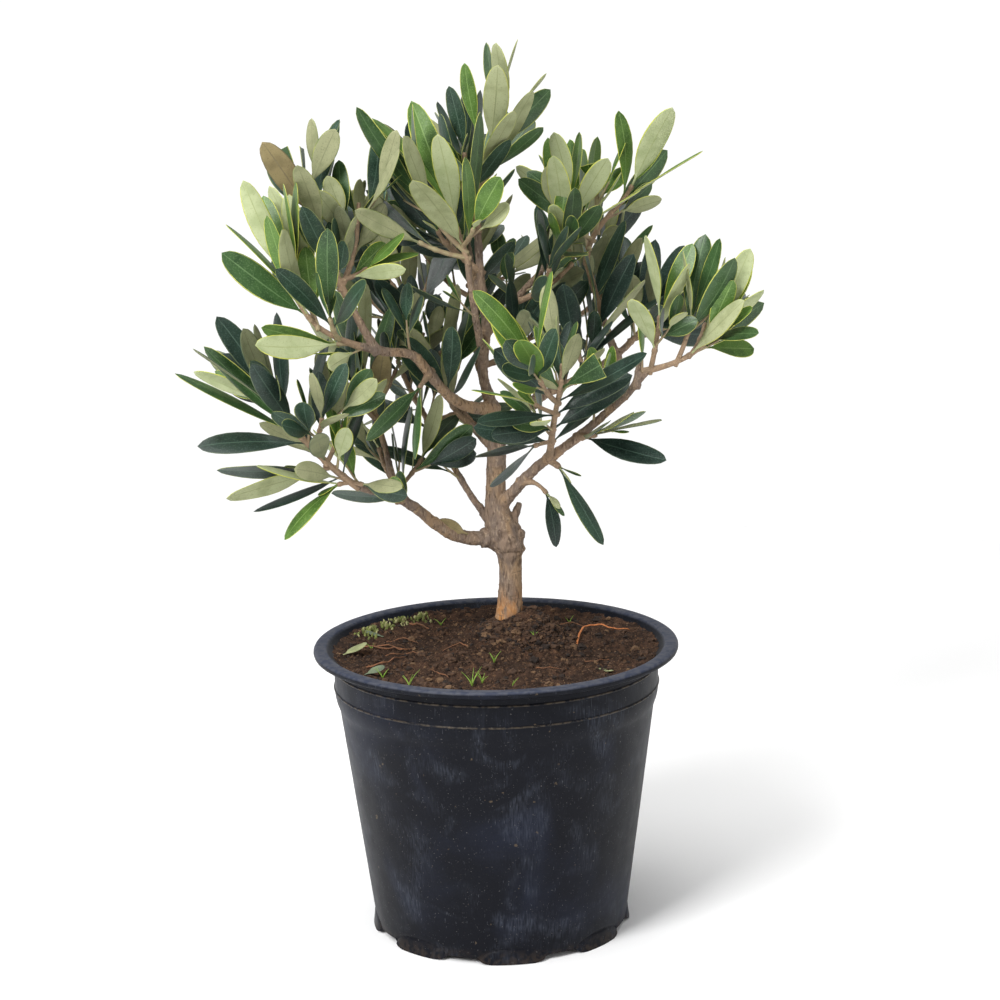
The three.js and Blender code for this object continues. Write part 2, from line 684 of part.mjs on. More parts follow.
// Solid of a three.js geometry, its shared vertices merged and its flat triangles dropped.
function solidOf(geometry) {
  const bare = geometry.clone();
  bare.deleteAttribute("normal");
  bare.deleteAttribute("uv");
  const merged = mergeVertices(bare, 1e-4);
  const index = merged.index.array;
  const triangles = [];
  for (let i = 0; i < index.length; i += 3) {
    const [a, b, c] = [index[i], index[i + 1], index[i + 2]];
    if (a !== b && b !== c && c !== a) triangles.push(a, b, c);
  }
  return toManifold(merged.attributes.position.array, triangles);
}

// Closed skin over rings of equally many points; a ring of one point is a tip.
function skinRings(rings) {
  const positions = rings.flat(2);
  const starts = [];
  let count = 0;
  for (const ring of rings) {
    starts.push(count);
    count += ring.length;
  }
  const triangles = [];
  const last = rings.length - 1;
  for (let r = 0; r < last; r += 1) {
    const [low, high] = [starts[r], starts[r + 1]];
    const sides = Math.max(rings[r].length, rings[r + 1].length);
    for (let i = 0; i < sides; i += 1) {
      const j = (i + 1) % sides;
      if (rings[r].length === 1) {
        triangles.push(low, high + j, high + i);
      } else if (rings[r + 1].length === 1) {
        triangles.push(low + i, low + j, high);
      } else {
        triangles.push(low + i, low + j, high + j, low + i, high + j, high + i);
      }
    }
  }
  for (let i = 1; i < rings[0].length - 1; i += 1) {
    triangles.push(starts[0], starts[0] + i + 1, starts[0] + i);
  }
  for (let i = 1; i < rings[last].length - 1; i += 1) {
    triangles.push(starts[last], starts[last] + i, starts[last] + i + 1);
  }
  return toManifold(positions, triangles);
}

// Round or few-sided tube along a branch. Its foot is cut square to the branch's "seat".
function tube(branch, radiusAt, sides, extra, stride) {
  const steps = Math.max(2, Math.ceil(branch.length / stride));
  const rings = [];
  let side = squareTo([1, 0, 0], placeOn(branch, 0).way);
  for (let i = 0; i <= steps; i += 1) {
    const distance = (branch.length * i) / steps;
    const { point, way } = placeOn(branch, distance);
    const square = i === 0 && branch.seat ? branch.seat : way;
    side = squareTo(side, square);
    const other = cross(square, side);
    const radius = radiusAt(branch, distance) + extra;
    const ring = [];
    for (let k = 0; k < sides; k += 1) {
      const angle = (2 * Math.PI * k) / sides;
      const reach = add(scale(side, radius * Math.cos(angle)), scale(other, radius * Math.sin(angle)));
      ring.push(add(point, reach));
    }
    rings.push(ring);
  }
  return skinRings(rings);
}

function limbSolid(limb, extra) {
  let solid = tube(limb, limbRadius, limb.sides, extra, limb.on ? 11 : 10);
  for (const stub of limb.stubs) {
    solid = solid.add(tube(stub, limbRadius, 6, extra, stub.length / 2));
  }
  return solid;
}

// A leaf is a slim three-sided blade: flat above, with its rib as a keel below.
function leafSolid(leaf) {
  const ringAt = (t, u, keel) => [
    onLeaf(leaf, t, -u),
    onLeaf(leaf, t, u),
    add(onLeaf(leaf, t, 0), scale(leaf.face, -keel)),
  ];
  const [low, high] = LEAF.rings;
  const rings = [ringAt(0, 1, LEAF.stalkRadius), ringAt(low, LEAF.fullness, LEAF.thickness)];
  if (leaf.end < 1) rings.push(ringAt(leaf.end, 1, LEAF.thickness));
  else rings.push(ringAt(high, LEAF.fullness, LEAF.thickness), [onLeaf(leaf, 1, 0)]);
  return skinRings(rings);
}

// The largest closed shell of a solid: loose scraps and sealed hollows fall away.
function largestShell(solid) {
  const { vertProperties, triVerts } = solid.getMesh();
  const parent = Array.from({ length: vertProperties.length / 3 }, (_, i) => i);
  const find = (i) => {
    let at = i;
    while (parent[at] !== at) {
      parent[at] = parent[parent[at]];
      at = parent[at];
    }
    return at;
  };
  for (let i = 0; i < triVerts.length; i += 3) {
    parent[find(triVerts[i])] = find(triVerts[i + 1]);
    parent[find(triVerts[i + 1])] = find(triVerts[i + 2]);
  }
  const shells = new Map();
  for (let i = 0; i < triVerts.length; i += 3) {
    const shell = find(triVerts[i]);
    if (!shells.has(shell)) shells.set(shell, []);
    shells.get(shell).push(triVerts[i], triVerts[i + 1], triVerts[i + 2]);
  }
  const sorted = [...shells.values()].sort((a, b) => b.length - a.length);
  return { vertProperties, triVerts: sorted[0] };
}

// ---------------------------------------------------------------- materials and pieces

const group = new THREE.Group();

function finish(color, roughness) {
  return new THREE.MeshStandardMaterial({ color, roughness, metalness: 0 });
}

function addPiece(name, solid, material) {
  const { vertProperties, triVerts } = largestShell(solid);
  const geometry = new THREE.BufferGeometry();
  geometry.setAttribute("position", new THREE.BufferAttribute(vertProperties, 3));
  geometry.setIndex(triVerts);
  geometry.computeVertexNormals();
  const mesh = new THREE.Mesh(geometry, material);
  mesh.name = name;
  group.add(mesh);
}

// Wall radius outside, as a straight taper up to the shoulder.
function wallRadius(height) {
  const share = (height - POT.grooveHeight) / (POT.shoulderHeight - POT.grooveHeight);
  return mix(POT.footRadius, POT.shoulderRadius, share);
}

// Profile from the middle of the underside, up outside and down inside. The rings that
// the feet bend have a third value: how far a foot pushes them out.
function potProfile() {
  const lipBottom = POT.height - POT.lipThickness;
  const collarInner = POT.collarRadius - POT.wall;
  const footTop = wallRadius(FEET.top);
  const profile = [
    [0, 0],
    [POT.padRadius, 0],
    [POT.grooveRadius, POT.grooveHeight],
    [FEET.inner, POT.grooveHeight, 0],
    [POT.footRadius, POT.grooveHeight, FEET.outer - POT.footRadius],
    [footTop, FEET.top, 0.6 * (FEET.outer - footTop)],
    [POT.shoulderRadius, POT.shoulderHeight],
    [POT.collarRadius, POT.collarHeight],
  ];
  profile.push([POT.collarRadius, POT.ridgeHeight - POT.ridge]);
  profile.push([POT.collarRadius + POT.ridge, POT.ridgeHeight]);
  profile.push([POT.collarRadius, POT.ridgeHeight + POT.ridge]);
  profile.push([POT.collarRadius, lipBottom]);
  profile.push([POT.lipRadius, lipBottom]);
  profile.push([POT.lipRadius, POT.height - POT.lipRound]);
  profile.push([POT.lipRadius - POT.lipRound, POT.height]);
  profile.push([POT.lipInner, POT.height]);
  profile.push([collarInner, lipBottom]);
  profile.push([collarInner, POT.collarHeight]);
  profile.push([POT.shoulderRadius - POT.wall, POT.shoulderHeight]);
  profile.push([wallRadius(POT.floor) - POT.wall, POT.floor]);
  profile.push([0, POT.floor]);
  return profile;
}

// Ring of points round the pot's axis, from the front round to the right.
function ringOf(radiusAt, heightAt) {
  const ring = [];
  for (let k = 0; k < POT.segments; k += 1) {
    const angle = (2 * Math.PI * k) / POT.segments + radians(POT.turn);
    const radius = radiusAt(k);
    const [x, y] = [radius * Math.sin(angle), -radius * Math.cos(angle)];
    ring.push([x, y, heightAt(x, y, k)]);
  }
  return ring;
}

function drainSolid(index) {
  const geometry = new THREE.CylinderGeometry(DRAINS.radius, DRAINS.radius, 2 * POT.floor, 6);
  geometry.rotateX(Math.PI / 2);
  geometry.translate(DRAINS.circle, 0, POT.floor);
  geometry.rotateZ(radians(DRAINS.turn + (360 / DRAINS.count) * index - 90));
  return solidOf(geometry);
}

function potSolid() {
  const isFoot = (k) => FEET.pattern[k % FEET.pattern.length];
  const rings = potProfile().map(([radius, height, push]) => {
    if (radius === 0) return [[0, 0, height]];
    const drop = height === POT.grooveHeight && push !== undefined ? height : 0;
    return ringOf((k) => radius + (push ?? 0) * isFoot(k), (x, y, k) => height - drop * isFoot(k));
  });
  let solid = skinRings(rings);
  for (let i = 0; i < DRAINS.count; i += 1) solid = solid.subtract(drainSolid(i));
  return solid;
}

function soilHeight(x, y) {
  let height = SOIL.edge;
  for (const mound of SOIL.mounds) {
    const away = ((x - mound.x) ** 2 + (y - mound.y) ** 2) / (2 * mound.spread ** 2);
    height += mound.height * Math.exp(-away);
  }
  return Math.min(height, SOIL.crest);
}

// Root ball with a mounded top, as rings round the pot's axis.
function soilSolid() {
  const edgeRadius = POT.collarRadius - POT.wall - GAP;
  const levels = [
    [wallRadius(POT.floor) - POT.wall - GAP, POT.floor + GAP],
    [POT.shoulderRadius - POT.wall - GAP, POT.shoulderHeight],
    [edgeRadius, POT.collarHeight],
    [edgeRadius, SOIL.edge],
  ];
  const rings = levels.map(([radius, height]) => ringOf(() => radius, () => height));
  for (const radius of [...SOIL.rings].reverse()) rings.push(ringOf(() => radius, soilHeight));
  return skinRings([[[0, 0, POT.floor + GAP]], ...rings, [[0, 0, soilHeight(0, 0)]]]);
}

// Room in the soil for the stem's foot.
function footSolid() {
  const radius = TRUNK.flare + LIMBS[0].radius[0] + 2 * GAP;
  const geometry = new THREE.CylinderGeometry(radius, radius, 20, 16);
  geometry.rotateX(Math.PI / 2);
  geometry.translate(TRUNK.x, TRUNK.y, SOIL.foot + 10);
  return solidOf(geometry);
}

function massSolid(mass, twigs, leaves, limbs) {
  let solid = null;
  for (const twig of twigs) {
    const piece = tube(twig, (branch, distance) => 1.25 * twigRadius(branch, distance), 3, 0, 15);
    solid = solid ? solid.add(piece) : piece;
  }
  for (const leaf of leaves) solid = solid.add(leafSolid(leaf));
  return mass.from ? solid.subtract(limbSolid(limbs.get(mass.on), GAP)) : solid;
}

// ---------------------------------------------------------------- the potted tree

const limbs = growLimbs();
addPiece("pot", potSolid(), finish(0x191c23, 0.5));
addPiece("soil", soilSolid().subtract(footSolid()), finish(0x4a3525, 0.95));

const bark = finish(0x8a7260, 0.85);
for (const limb of limbs.values()) {
  const solid = limbSolid(limb, 0);
  const parent = limbs.get(limb.on);
  addPiece(limb.name, parent ? solid.subtract(limbSolid(parent, GAP)) : solid, bark);
}

const crowd = new Crowd();
crowdLimbs(crowd, limbs);
const grown = MASSES.map((mass) => ({ mass, twigs: growTwigs(mass, limbs, crowd) }));
const foliage = finish(0x5f7a45, 0.6);
for (const { mass, twigs } of grown) {
  const leaves = growLeaves(mass, twigs, crowd);
  addPiece(mass.name, massSolid(mass, twigs, leaves, limbs), foliage);
}

export default group;
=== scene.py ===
"""Looks of the potted olive tree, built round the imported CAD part.

The limbs, twigs and leaves grow by the same seeded rule as the part's solids, and are carried
on to finer twigs and buds. Sizes in the tables are millimetres and degrees, as in the part, and
colours are display values in hexadecimal.
"""

import math

import bmesh
import bpy
import numpy as np
from mathutils import Matrix, Vector, noise


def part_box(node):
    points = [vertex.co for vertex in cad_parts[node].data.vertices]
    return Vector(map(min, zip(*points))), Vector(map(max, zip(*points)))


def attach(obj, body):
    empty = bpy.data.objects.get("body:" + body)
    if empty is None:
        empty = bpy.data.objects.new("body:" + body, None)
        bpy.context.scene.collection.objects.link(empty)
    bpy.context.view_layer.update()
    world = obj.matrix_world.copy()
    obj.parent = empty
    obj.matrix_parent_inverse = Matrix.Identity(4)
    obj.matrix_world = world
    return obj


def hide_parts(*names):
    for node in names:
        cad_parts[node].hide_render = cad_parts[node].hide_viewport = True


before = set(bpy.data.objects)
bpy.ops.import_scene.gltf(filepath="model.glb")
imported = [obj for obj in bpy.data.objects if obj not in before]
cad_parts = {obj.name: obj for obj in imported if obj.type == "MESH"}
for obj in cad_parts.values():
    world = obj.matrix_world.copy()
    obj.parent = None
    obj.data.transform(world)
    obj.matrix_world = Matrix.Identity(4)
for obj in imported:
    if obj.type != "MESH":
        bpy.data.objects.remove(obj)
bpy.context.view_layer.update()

MM = 0.001
GAP = 0.3

# ---------------------------------------------------------------- the part's named sizes

SOIL_EDGE, SOIL_FOOT, SOIL_CREST = 147.6, 158.0, 165.0  # along the wall, at the stem, highest
MOUNDS = [  # x, y, height, spread
    (6, 20, 11, 17), (20, 13, 9.5, 8.5), (-12, -22, 2.5, 20),
    (0, 84, -4.5, 34), (56, -14, -2, 20), (-40, 8, -2.5, 20),
]
TRUNK = {
    "x": 7, "y": 20,
    "flare": 1.3, "flare_height": 7,  # added to the radius at the foot
    "union": 49, "swell": 2.2, "swell_height": 10,  # swelling where the lowest boughs leave
    "fork": 108, "fork_length": 14, "fork_loss": 0.42,  # where the leader turns thin
}

# Name, what it grows from and how far along, length, radii at foot and tip, headings, rises.
LIMBS = [
    ("trunk", None, 0, 208, [6.4, 3.4], [0],
     [84, 87, 92, 112, 92, 87, 88, 104, 103, 78, 92, 98, 92, 90]),
    ("bough_low_left", "trunk", 46, 94, [4.2, 1.9], [190, 203, 211, 212, 208],
     [-10, 4, 32, 42, 35, 16, 24]),
    ("bough_inner_left", "bough_low_left", 68, 30, [1.9, 1.6], [124, 120], [60, 65]),
    ("bough_thin_left", "trunk", 46, 68, [2, 1.6], [170, 152, 140], [42, 57, 56]),
    ("bough_mid_left", "trunk", 114, 98, [3.2, 2], [225, 220, 223, 226, 212, 208],
     [4, 14, 30, 46, 48, 44, 2, 18, 14]),
    ("bough_upper_left", "bough_mid_left", 88, 32, [2, 1.8], [176], [60, 66]),
    ("bough_front_upper", "trunk", 140, 59, [2, 1.7], [262, 250, 246], [50, 70, 76]),
    ("bough_right_low", "trunk", 61, 116.5, [3.2, 1.8], [-42, -40, -26, -20, -17, -22],
     [38, 46, 34, 40, 42, 54]),
    ("bough_right_mid", "trunk", 104, 92, [2.8, 1.8], [48, 38, 22, 20], [0, 30, 16, 24, 38]),
    ("bough_upper_right", "bough_right_mid", 84, 52, [1.9, 1.7], [160, 180], [70, 76]),
    ("bough_upper_mid", "trunk", 154, 54, [2.1, 1.7], [44, 37], [34, 39]),
    ("bough_back_left", "trunk", 92, 76, [2.6, 1.8], [150, 132, 122], [35, 45, 50]),
    ("bough_back", "trunk", 122, 68, [2.4, 1.8], [104, 92], [30, 42]),
    ("bough_back_right", "bough_right_mid", 30, 60, [2.1, 1.7], [78, 62], [24, 40]),
    ("bough_back_top", "trunk", 166, 44, [2.1, 1.7], [118, 100], [48, 58]),
]
# Cut stubs: on, at, length, radii, heading, rise.
STUBS = [
    ("trunk", 43, 21, [2.4, 1.5], 0, 70),
    ("trunk", 42, 9.5, [3, 1.8], -14, 30),
    ("bough_right_low", 108, 14, [1.5, 1.3], 60, 72),
]

# Masses of foliage, each with the bough it grows from and its seed, then its stem and shoots: the
# distance along what each grows from, length, headings, rises, the turn and length of the leaves,
# and the bare foot's length. Some say more: how far the tip pair opens, the lift of the leaves,
# the step from pair to pair, or that the tip is cut.
ROW = ("at", "length", "heading", "rise", "turn", "leaf", "bare")
TIP = None  # the stem carries on from its bough's tip
MASSES = {
    "foliage_low_left": ("bough_low_left", 4, [
        (TIP, 64, [206, 197], [38, 50, 60], 100, 50, 2),
        (3, 8, [210], [4, -6], 0, 46, 4, dict(open=20, lift=-0.15)),
        (16, 9, [200], [-4], 20, 50, 5, dict(open=10, lift=0)),
        (30, 14, [188], [42, 46], 0, 62, 8, dict(open=9, lift=0)),
        (46, 24, [134], [30, 34], 50, 44, 8),
        (30, 28, [288], [34, 56], 40, 34, 10),
        (20, 22, [60], [40, 60], 40, 38, 10),
        (3, 7, [-24], [-4], 80, 27, 4, dict(lift=0)),
    ]),
    "foliage_mid_left": ("bough_mid_left", 13, [
        (TIP, 40, [203, 209], [20, 34, 70], 20, 56, 22),
        (24, 28, [120], [50, 72], 30, 52, 10),
        (10, 26, [262], [14, 50], 60, 44, 10),
        (30, 22, [190], [54, 74], 60, 52, 12),
        (3, 8, [196], [2, 6], 50, 46, 4, dict(open=12, lift=0)),
    ]),
    "foliage_mid_inner": ("bough_mid_left", 31, [
        (50, 12, [250, 230], [-20, -40], 20, 40, 3, dict(lift=-0.2)),
    ]),
    "foliage_mid_right": ("bough_right_mid", 61, [
        (58, 34, [-60, -30], [40, 60, 74], 30, 46, 8),
        (10, 22, [-100], [20, 50], 60, 44, 8),
    ]),
    "foliage_upper_left": ("bough_upper_left", 22, [
        (TIP, 58, [184, 166], [66, 74], -20, 52, 4, dict(step=20, open=-6, lift=0, cut=True)),
        (6, 16, [20], [10, 30], 30, 28, 6),
        (3, 44, [50, 70], [50, 84], 10, 34, 12, dict(cut=True)),
    ]),
    "foliage_front_upper": ("bough_front_upper", 55, [
        (TIP, 27, [215, 190], [70, 76], 10, 60, 3),
        (6, 34, [199], [40, 64], 20, 54, 18),
        (2, 26, [191], [10, 30], 30, 42, 8),
        (8, 20, [290], [20, 44], 70, 38, 8),
    ]),
    "foliage_top": ("trunk", 34, [
        (TIP, 62, [0], [96, 96, 64, 56, 96], 0, 42, 6, dict(step=30)),
        (20, 22, [10], [30, 70], 45, 38, 12),
        (34, 16, [160], [76, 88], 60, 34, 8),
    ]),
    "foliage_front": ("bough_right_low", 377, [
        (46, 71, [-87, -84, -80], [42, 44], -15, 48, 6, dict(step=8, lift=-0.05, cut=True)),
        (52, 32, [243], [22, 60], 0, 52, 14),
        (63, 13, [60], [76], 20, 26, 3),
        (42, 14, [212], [20, 32], 20, 42, 6),
        (16, 12, [220], [0, -8], 20, 42, 6, dict(lift=-0.1)),
    ]),
    "foliage_right": ("bough_right_low", 236, [
        (TIP, 42, [-12, -12, -4], [10, 28, 64], 80, 46, 20),
        (2, 30, [-62], [66, 78], 45, 42, 8),
        (16, 26, [-42], [60, 76], 45, 42, 8),
        (24, 22, [60], [20, 56], 45, 40, 8),
        (4, 22, [120], [30, 60], 45, 40, 8),
    ]),
    "foliage_upper_right": ("bough_upper_right", 145, [
        (TIP, 48, [0, -8], [88, 56, 44, 62], 80, 48, 22),
        (18, 30, [260], [86], 45, 24, 10, dict(cut=True)),
        (8, 26, [100], [40, 66], 45, 40, 8),
        (12, 24, [230], [20, 50], 45, 38, 8),
    ]),
    "foliage_upper_mid": ("bough_upper_mid", 90, [
        (TIP, 35, [-16, 0], [54, 62, 100], 50, 43, 10),
        (14, 22, [44], [38, 60], 45, 40, 8),
        (4, 26, [290], [10, 30], 60, 36, 8),
    ]),
    "foliage_inner_left": ("bough_inner_left", 5, [
        (TIP, 44, [134, 141], [66, 75], 40, 44, 3),
        (12, 28, [222], [40, 60], 30, 42, 8),
        (18, 26, [50], [34, 56], 60, 42, 8),
    ]),
    "foliage_thin_left": ("bough_thin_left", 8, [
        (TIP, 42, [142, 138], [46, 64], 60, 44, 3, dict(lift=-0.1)),
        (4, 22, [20], [10, 20], 0, 40, 6, dict(step=40, lift=-0.5)),
        (20, 26, [50], [50, 64], 45, 40, 8),
    ]),
    "foliage_lower_right": ("bough_right_low", 610, [
        (66, 13, [-58, -34], [6, 14], 0, 46, 3, dict(step=50, lift=-0.1)),
    ]),
    "foliage_hanging": ("bough_right_low", 17, [
        (24, 18, [-43, -38], [20, -50], 0, 30, 12, dict(lift=-2.4)),
    ]),
    "foliage_hanging_front": ("bough_right_low", 18, [
        (45, 8, [-32], [-30], 0, 48, 6, dict(lift=-1.3)),
    ]),
    "foliage_right_back": ("bough_right_mid", 987, [
        (TIP, 22, [30, -50], [40, 66], 45, 42, 3),
        (4, 28, [10], [14, 34], 45, 44, 8),
        (12, 24, [90], [10, 40], 45, 44, 8),
    ]),
    "foliage_inner_top": ("trunk", 29, [
        (186, 40, [196, 180], [36, 60], 45, 42, 6),
        (14, 26, [240], [20, 50], 45, 40, 8),
        (18, 26, [130], [30, 60], 45, 42, 8),
    ]),
    "foliage_inner_right": ("bough_upper_mid", 47, [
        (24, 40, [-30, -10], [16, 50], 45, 42, 6),
        (14, 26, [-70], [20, 54], 45, 40, 8),
    ]),
    "foliage_low_inner": ("bough_low_left", 71, [
        (56, 38, [150, 170], [30, 60, 78], 0, 44, 8, dict(step=60)),
        (14, 22, [40], [30, 50], 45, 40, 8),
    ]),
    "foliage_heart_left": ("bough_back_left", 97, [
        (20, 44, [196, 170], [30, 80, 84], 30, 44, 6),
        (12, 24, [260], [20, 50], 45, 42, 8),
        (24, 24, [60], [30, 60], 45, 42, 8),
    ]),
    "foliage_heart_right": ("bough_back", 113, [
        (22, 38, [0, 20], [10, 30, 60], 30, 44, 8),
        (12, 24, [-50], [30, 60], 45, 40, 8),
    ]),
    "foliage_back_left": ("bough_back_left", 1597, [
        (TIP, 50, [122, 140], [50, 68], 45, 46, 3),
        (4, 34, [190], [24, 50], 45, 44, 8),
        (12, 32, [70], [30, 56], 45, 44, 8),
        (24, 30, [170], [44, 66], 45, 44, 8),
    ]),
    "foliage_back": ("bough_back", 2584, [
        (TIP, 50, [92, 104], [42, 66], 45, 44, 3),
        (4, 34, [150], [20, 50], 45, 44, 8),
        (12, 30, [46], [-4, 12], 45, 42, 8),
    ]),
    "foliage_back_right": ("bough_back_right", 4181, [
        (TIP, 50, [62, 50], [40, 66], 45, 46, 3),
        (4, 34, [10], [24, 50], 45, 44, 8),
        (12, 32, [110], [30, 56], 45, 44, 8),
    ]),
    "foliage_back_top": ("bough_back_top", 6765, [
        (TIP, 46, [100, 80], [58, 76], 45, 42, 3),
        (6, 32, [160], [34, 58], 45, 40, 8),
        (14, 28, [84], [14, 40], 45, 40, 8),
    ]),
}
TWIG = {"tip": 1, "thicken": 0.014, "stride": 5, "stub": 7}
LEAF = {
    "width": (6, 0.135), "stalk": 0.07, "stalk_radius": 0.5, "tip_angle": 15, "angle_step": 11,
    "widest_angle": 62, "tip_spacing": 8, "spacing_step": 1.5, "widest_spacing": 13,
    "sizes": [0.96, 1.04, 1.06, 1, 0.9], "twist": 40, "curl": (-0.16, 0.04), "lift": 0.12,
    "lost": 0.06, "cut_share": 0.5, "nudges": [0, 24, -24, 48, -48],
    # the spread from leaf to leaf: degrees either way, and shares of the usual size
    "roll": (-12, 12), "opening": (-7, 7), "lengths": (0.86, 1.14), "widths": (0.88, 1.14),
}
CROWD = {"limb": 2, "twig": 2, "own_leaf": 2.4, "other_leaf": 3.8, "clear_foot": 9}

# ---------------------------------------------------------------- vectors and numbers

SIDEWAYS, ACROSS, UP = np.eye(3)


def unit(a):
    return a / math.sqrt(float(np.dot(a, a)))


def square_to(a, way):
    return unit(a - way * float(np.dot(a, way)))


def direction(heading, rise):
    h, r = math.radians(heading), math.radians(rise)
    return np.array([math.cos(r) * math.cos(h), math.cos(r) * math.sin(h), math.sin(r)])


def turn_about(a, axis, degrees):
    c, s = math.cos(math.radians(degrees)), math.sin(math.radians(degrees))
    return a * c + np.cross(axis, a) * s + axis * (float(np.dot(axis, a)) * (1 - c))


def along(values, t):
    """Value at the share t of a list whose entries are evenly spaced."""
    return float(np.interp(t, np.linspace(0, 1, len(values)), values))


def between(span, share):
    return np.interp(share, [0, 1], span)


def random_from(seed):
    """Seeded random numbers from 0 to 1, the same run as the part's source draws."""
    state = seed & 0xFFFFFFFF

    def draw():
        nonlocal state
        state = (state + 0x6D2B79F5) & 0xFFFFFFFF
        value = ((state ^ (state >> 15)) * (state | 1)) & 0xFFFFFFFF
        value = (value + (value ^ (value >> 7)) * (value | 61)) & 0xFFFFFFFF ^ value
        return ((value ^ (value >> 14)) & 0xFFFFFFFF) / 4294967296

    return draw


# ---------------------------------------------------------------- growth rule


class Branch:
    """A limb or twig: a walk whose direction turns through its headings and rises."""

    def __init__(self, start, length, headings, rises, **facts):
        steps = max(2, math.floor(length / TWIG["stride"] + 0.5))
        points = [np.array(start, float)]
        for i in range(steps):
            t = (i + 0.5) / steps
            way = direction(along(headings, t), along(rises, t))
            points.append(points[-1] + way * (length / steps))
        self.points = np.array(points)
        self.length = length
        self.id = -2  # no twig of a mass
        self.__dict__.update(facts)

    def place(self, distance):
        steps = len(self.points) - 1
        place = min(max(distance / self.length, 0), 1) * steps
        index = min(math.floor(place), steps - 1)
        step = self.points[index + 1] - self.points[index]
        return self.points[index] + step * (place - index), unit(step)


def limb_radius(limb, distance):
    share = (max(distance, 0) / limb.length) ** 0.9
    radius = limb.radius[0] + (limb.radius[1] - limb.radius[0]) * share
    if limb.name == "trunk":
        swell = (distance - TRUNK["union"]) / TRUNK["swell_height"]
        radius += TRUNK["flare"] * math.exp(-distance / TRUNK["flare_height"])
        radius += TRUNK["swell"] * math.exp(-swell * swell)
        past_fork = (distance - TRUNK["fork"]) / TRUNK["fork_length"]
        radius *= 1 - TRUNK["fork_loss"] * min(max(past_fork, 0), 1)
    return radius


def twig_radius(twig, distance):
    return TWIG["tip"] + TWIG["thicken"] * (twig.length - distance)


class Crowd:
    """Where wood and leaves already are, as points with the room each keeps."""

    LIMB, TWIG, LEAF = 0, 1, 2

    def __init__(self):
        self.count = 0
        self.points = np.zeros((1024, 3))
        self.facts = np.zeros((1024, 4))

    def add(self, points, *facts):
        """Points with their kind, mass, twig and radius."""
        needed = self.count + len(points)
        while needed > len(self.points):
            self.points = np.vstack([self.points, np.zeros_like(self.points)])
            self.facts = np.vstack([self.facts, np.zeros_like(self.facts)])
        self.points[self.count : needed] = points
        for column, value in enumerate(facts):
            self.facts[self.count : needed, column] = value
        self.count = needed

    def add_branch(self, branch, radius_at, kind, mass=-1):
        steps = math.ceil(branch.length / 2)
        distances = [branch.length * i / steps for i in range(steps + 1)]
        points = [branch.place(d)[0] for d in distances]
        self.add(points, kind, mass, branch.id, [radius_at(branch, d) for d in distances])

    def touches(self, points, room, mass, twig=None, foot=False):
        """True where some entry of other twigs is nearer to the points than the room asks.

        At a twig's or leaf's foot neither limbs nor its own mass are in the way.
        """
        entries = self.points[: self.count]
        near = np.all((entries > points.min(0) - 10) & (entries < points.max(0) + 10), axis=1)
        kind, of_mass, of_twig, radius = self.facts[: self.count][near].T
        limb, of_twigs, own = kind == self.LIMB, kind == self.TWIG, of_mass == mass
        asked = [radius + room["limb"], radius + room["twig"], room["own_leaf"]]
        clear = np.select([limb, of_twigs, own], asked, room["other_leaf"])
        clear[(of_twigs & (of_twig == twig)) | (foot & (limb | own))] = 0
        entries, clear = entries[near][clear > 0], clear[clear > 0]
        apart = points[:, None, :] - entries[None, :, :]
        return bool((np.einsum("ijk,ijk->ij", apart, apart) < clear**2).any())


crowd = Crowd()


class Leaf:
    """One leaf of a pair, turned about its twig by the nudge it needs for room."""

    bud = False

    def __init__(self, twig, spot, nudge):
        point, way, pair, side, draws = spot
        size = twig.size
        flat = np.cross(way, ACROSS)
        level = unit(flat) if float(np.dot(flat, flat)) > 0.04 else square_to(SIDEWAYS, way)
        opening = size.get("open", LEAF["tip_angle"]) + LEAF["angle_step"] * pair
        opening = min(opening, LEAF["widest_angle"])
        usual = size["leaf"] * LEAF["sizes"][min(pair, len(LEAF["sizes"]) - 1)]
        roll = size["turn"] + size.get("step", 90) * pair + side + between(LEAF["roll"], draws[0])
        outward = turn_about(level, way, roll + nudge)
        angle = math.radians(opening + between(LEAF["opening"], draws[1]))
        lean = way * math.cos(angle) + outward * math.sin(angle)
        self.root = point
        self.way = unit(lean + UP * size.get("lift", LEAF["lift"]))
        twist = 2 * LEAF["twist"] * (draws[5] - 0.5)
        self.face = turn_about(square_to(way, self.way), self.way, twist)
        self.length = usual * between(LEAF["lengths"], draws[2])
        narrowest, widening = LEAF["width"]
        self.width = (narrowest + widening * usual) * between(LEAF["widths"], draws[3])
        self.curl = between(LEAF["curl"], draws[4])
        self.end = LEAF["cut_share"] if size.get("cut") and pair == 2 else 1
        self.pair, self.twig, self.draws = pair, twig, draws

    def half_width(self, t):
        share = np.maximum(0, (t - LEAF["stalk"]) / (1 - LEAF["stalk"]))
        belly = np.power(1 - np.power(np.abs(2 * np.power(share, 1.25) - 1), 1.8), 0.85)
        return np.maximum(self.width * 0.5 * belly, np.where(t < 0.5, LEAF["stalk_radius"], 0))

    def blade_points(self, low, high):
        """Points over the part's solid blade, from one share of its length to another."""
        t = np.repeat(self.end * np.arange(15) / 14, 5)
        u = np.tile([-1, -0.5, 0, 0.5, 1], 15)
        kept = (t >= low) & (t <= high)
        t, u = t[kept], u[kept]
        rib = self.root + np.multiply.outer(t * self.length, self.way)
        rib = rib + np.multiply.outer(self.curl * self.length * t * t, self.face)
        return rib + np.multiply.outer(self.half_width(t) * u, np.cross(self.way, self.face))

    def fits(self, mass, room):
        """True where the crowd leaves the blade room."""
        foot, blade = self.blade_points(0, 0.2), self.blade_points(0.2, 1)
        if crowd.touches(foot, room, mass, foot=True):
            return False
        return not crowd.touches(blade, room, mass, self.twig.id)


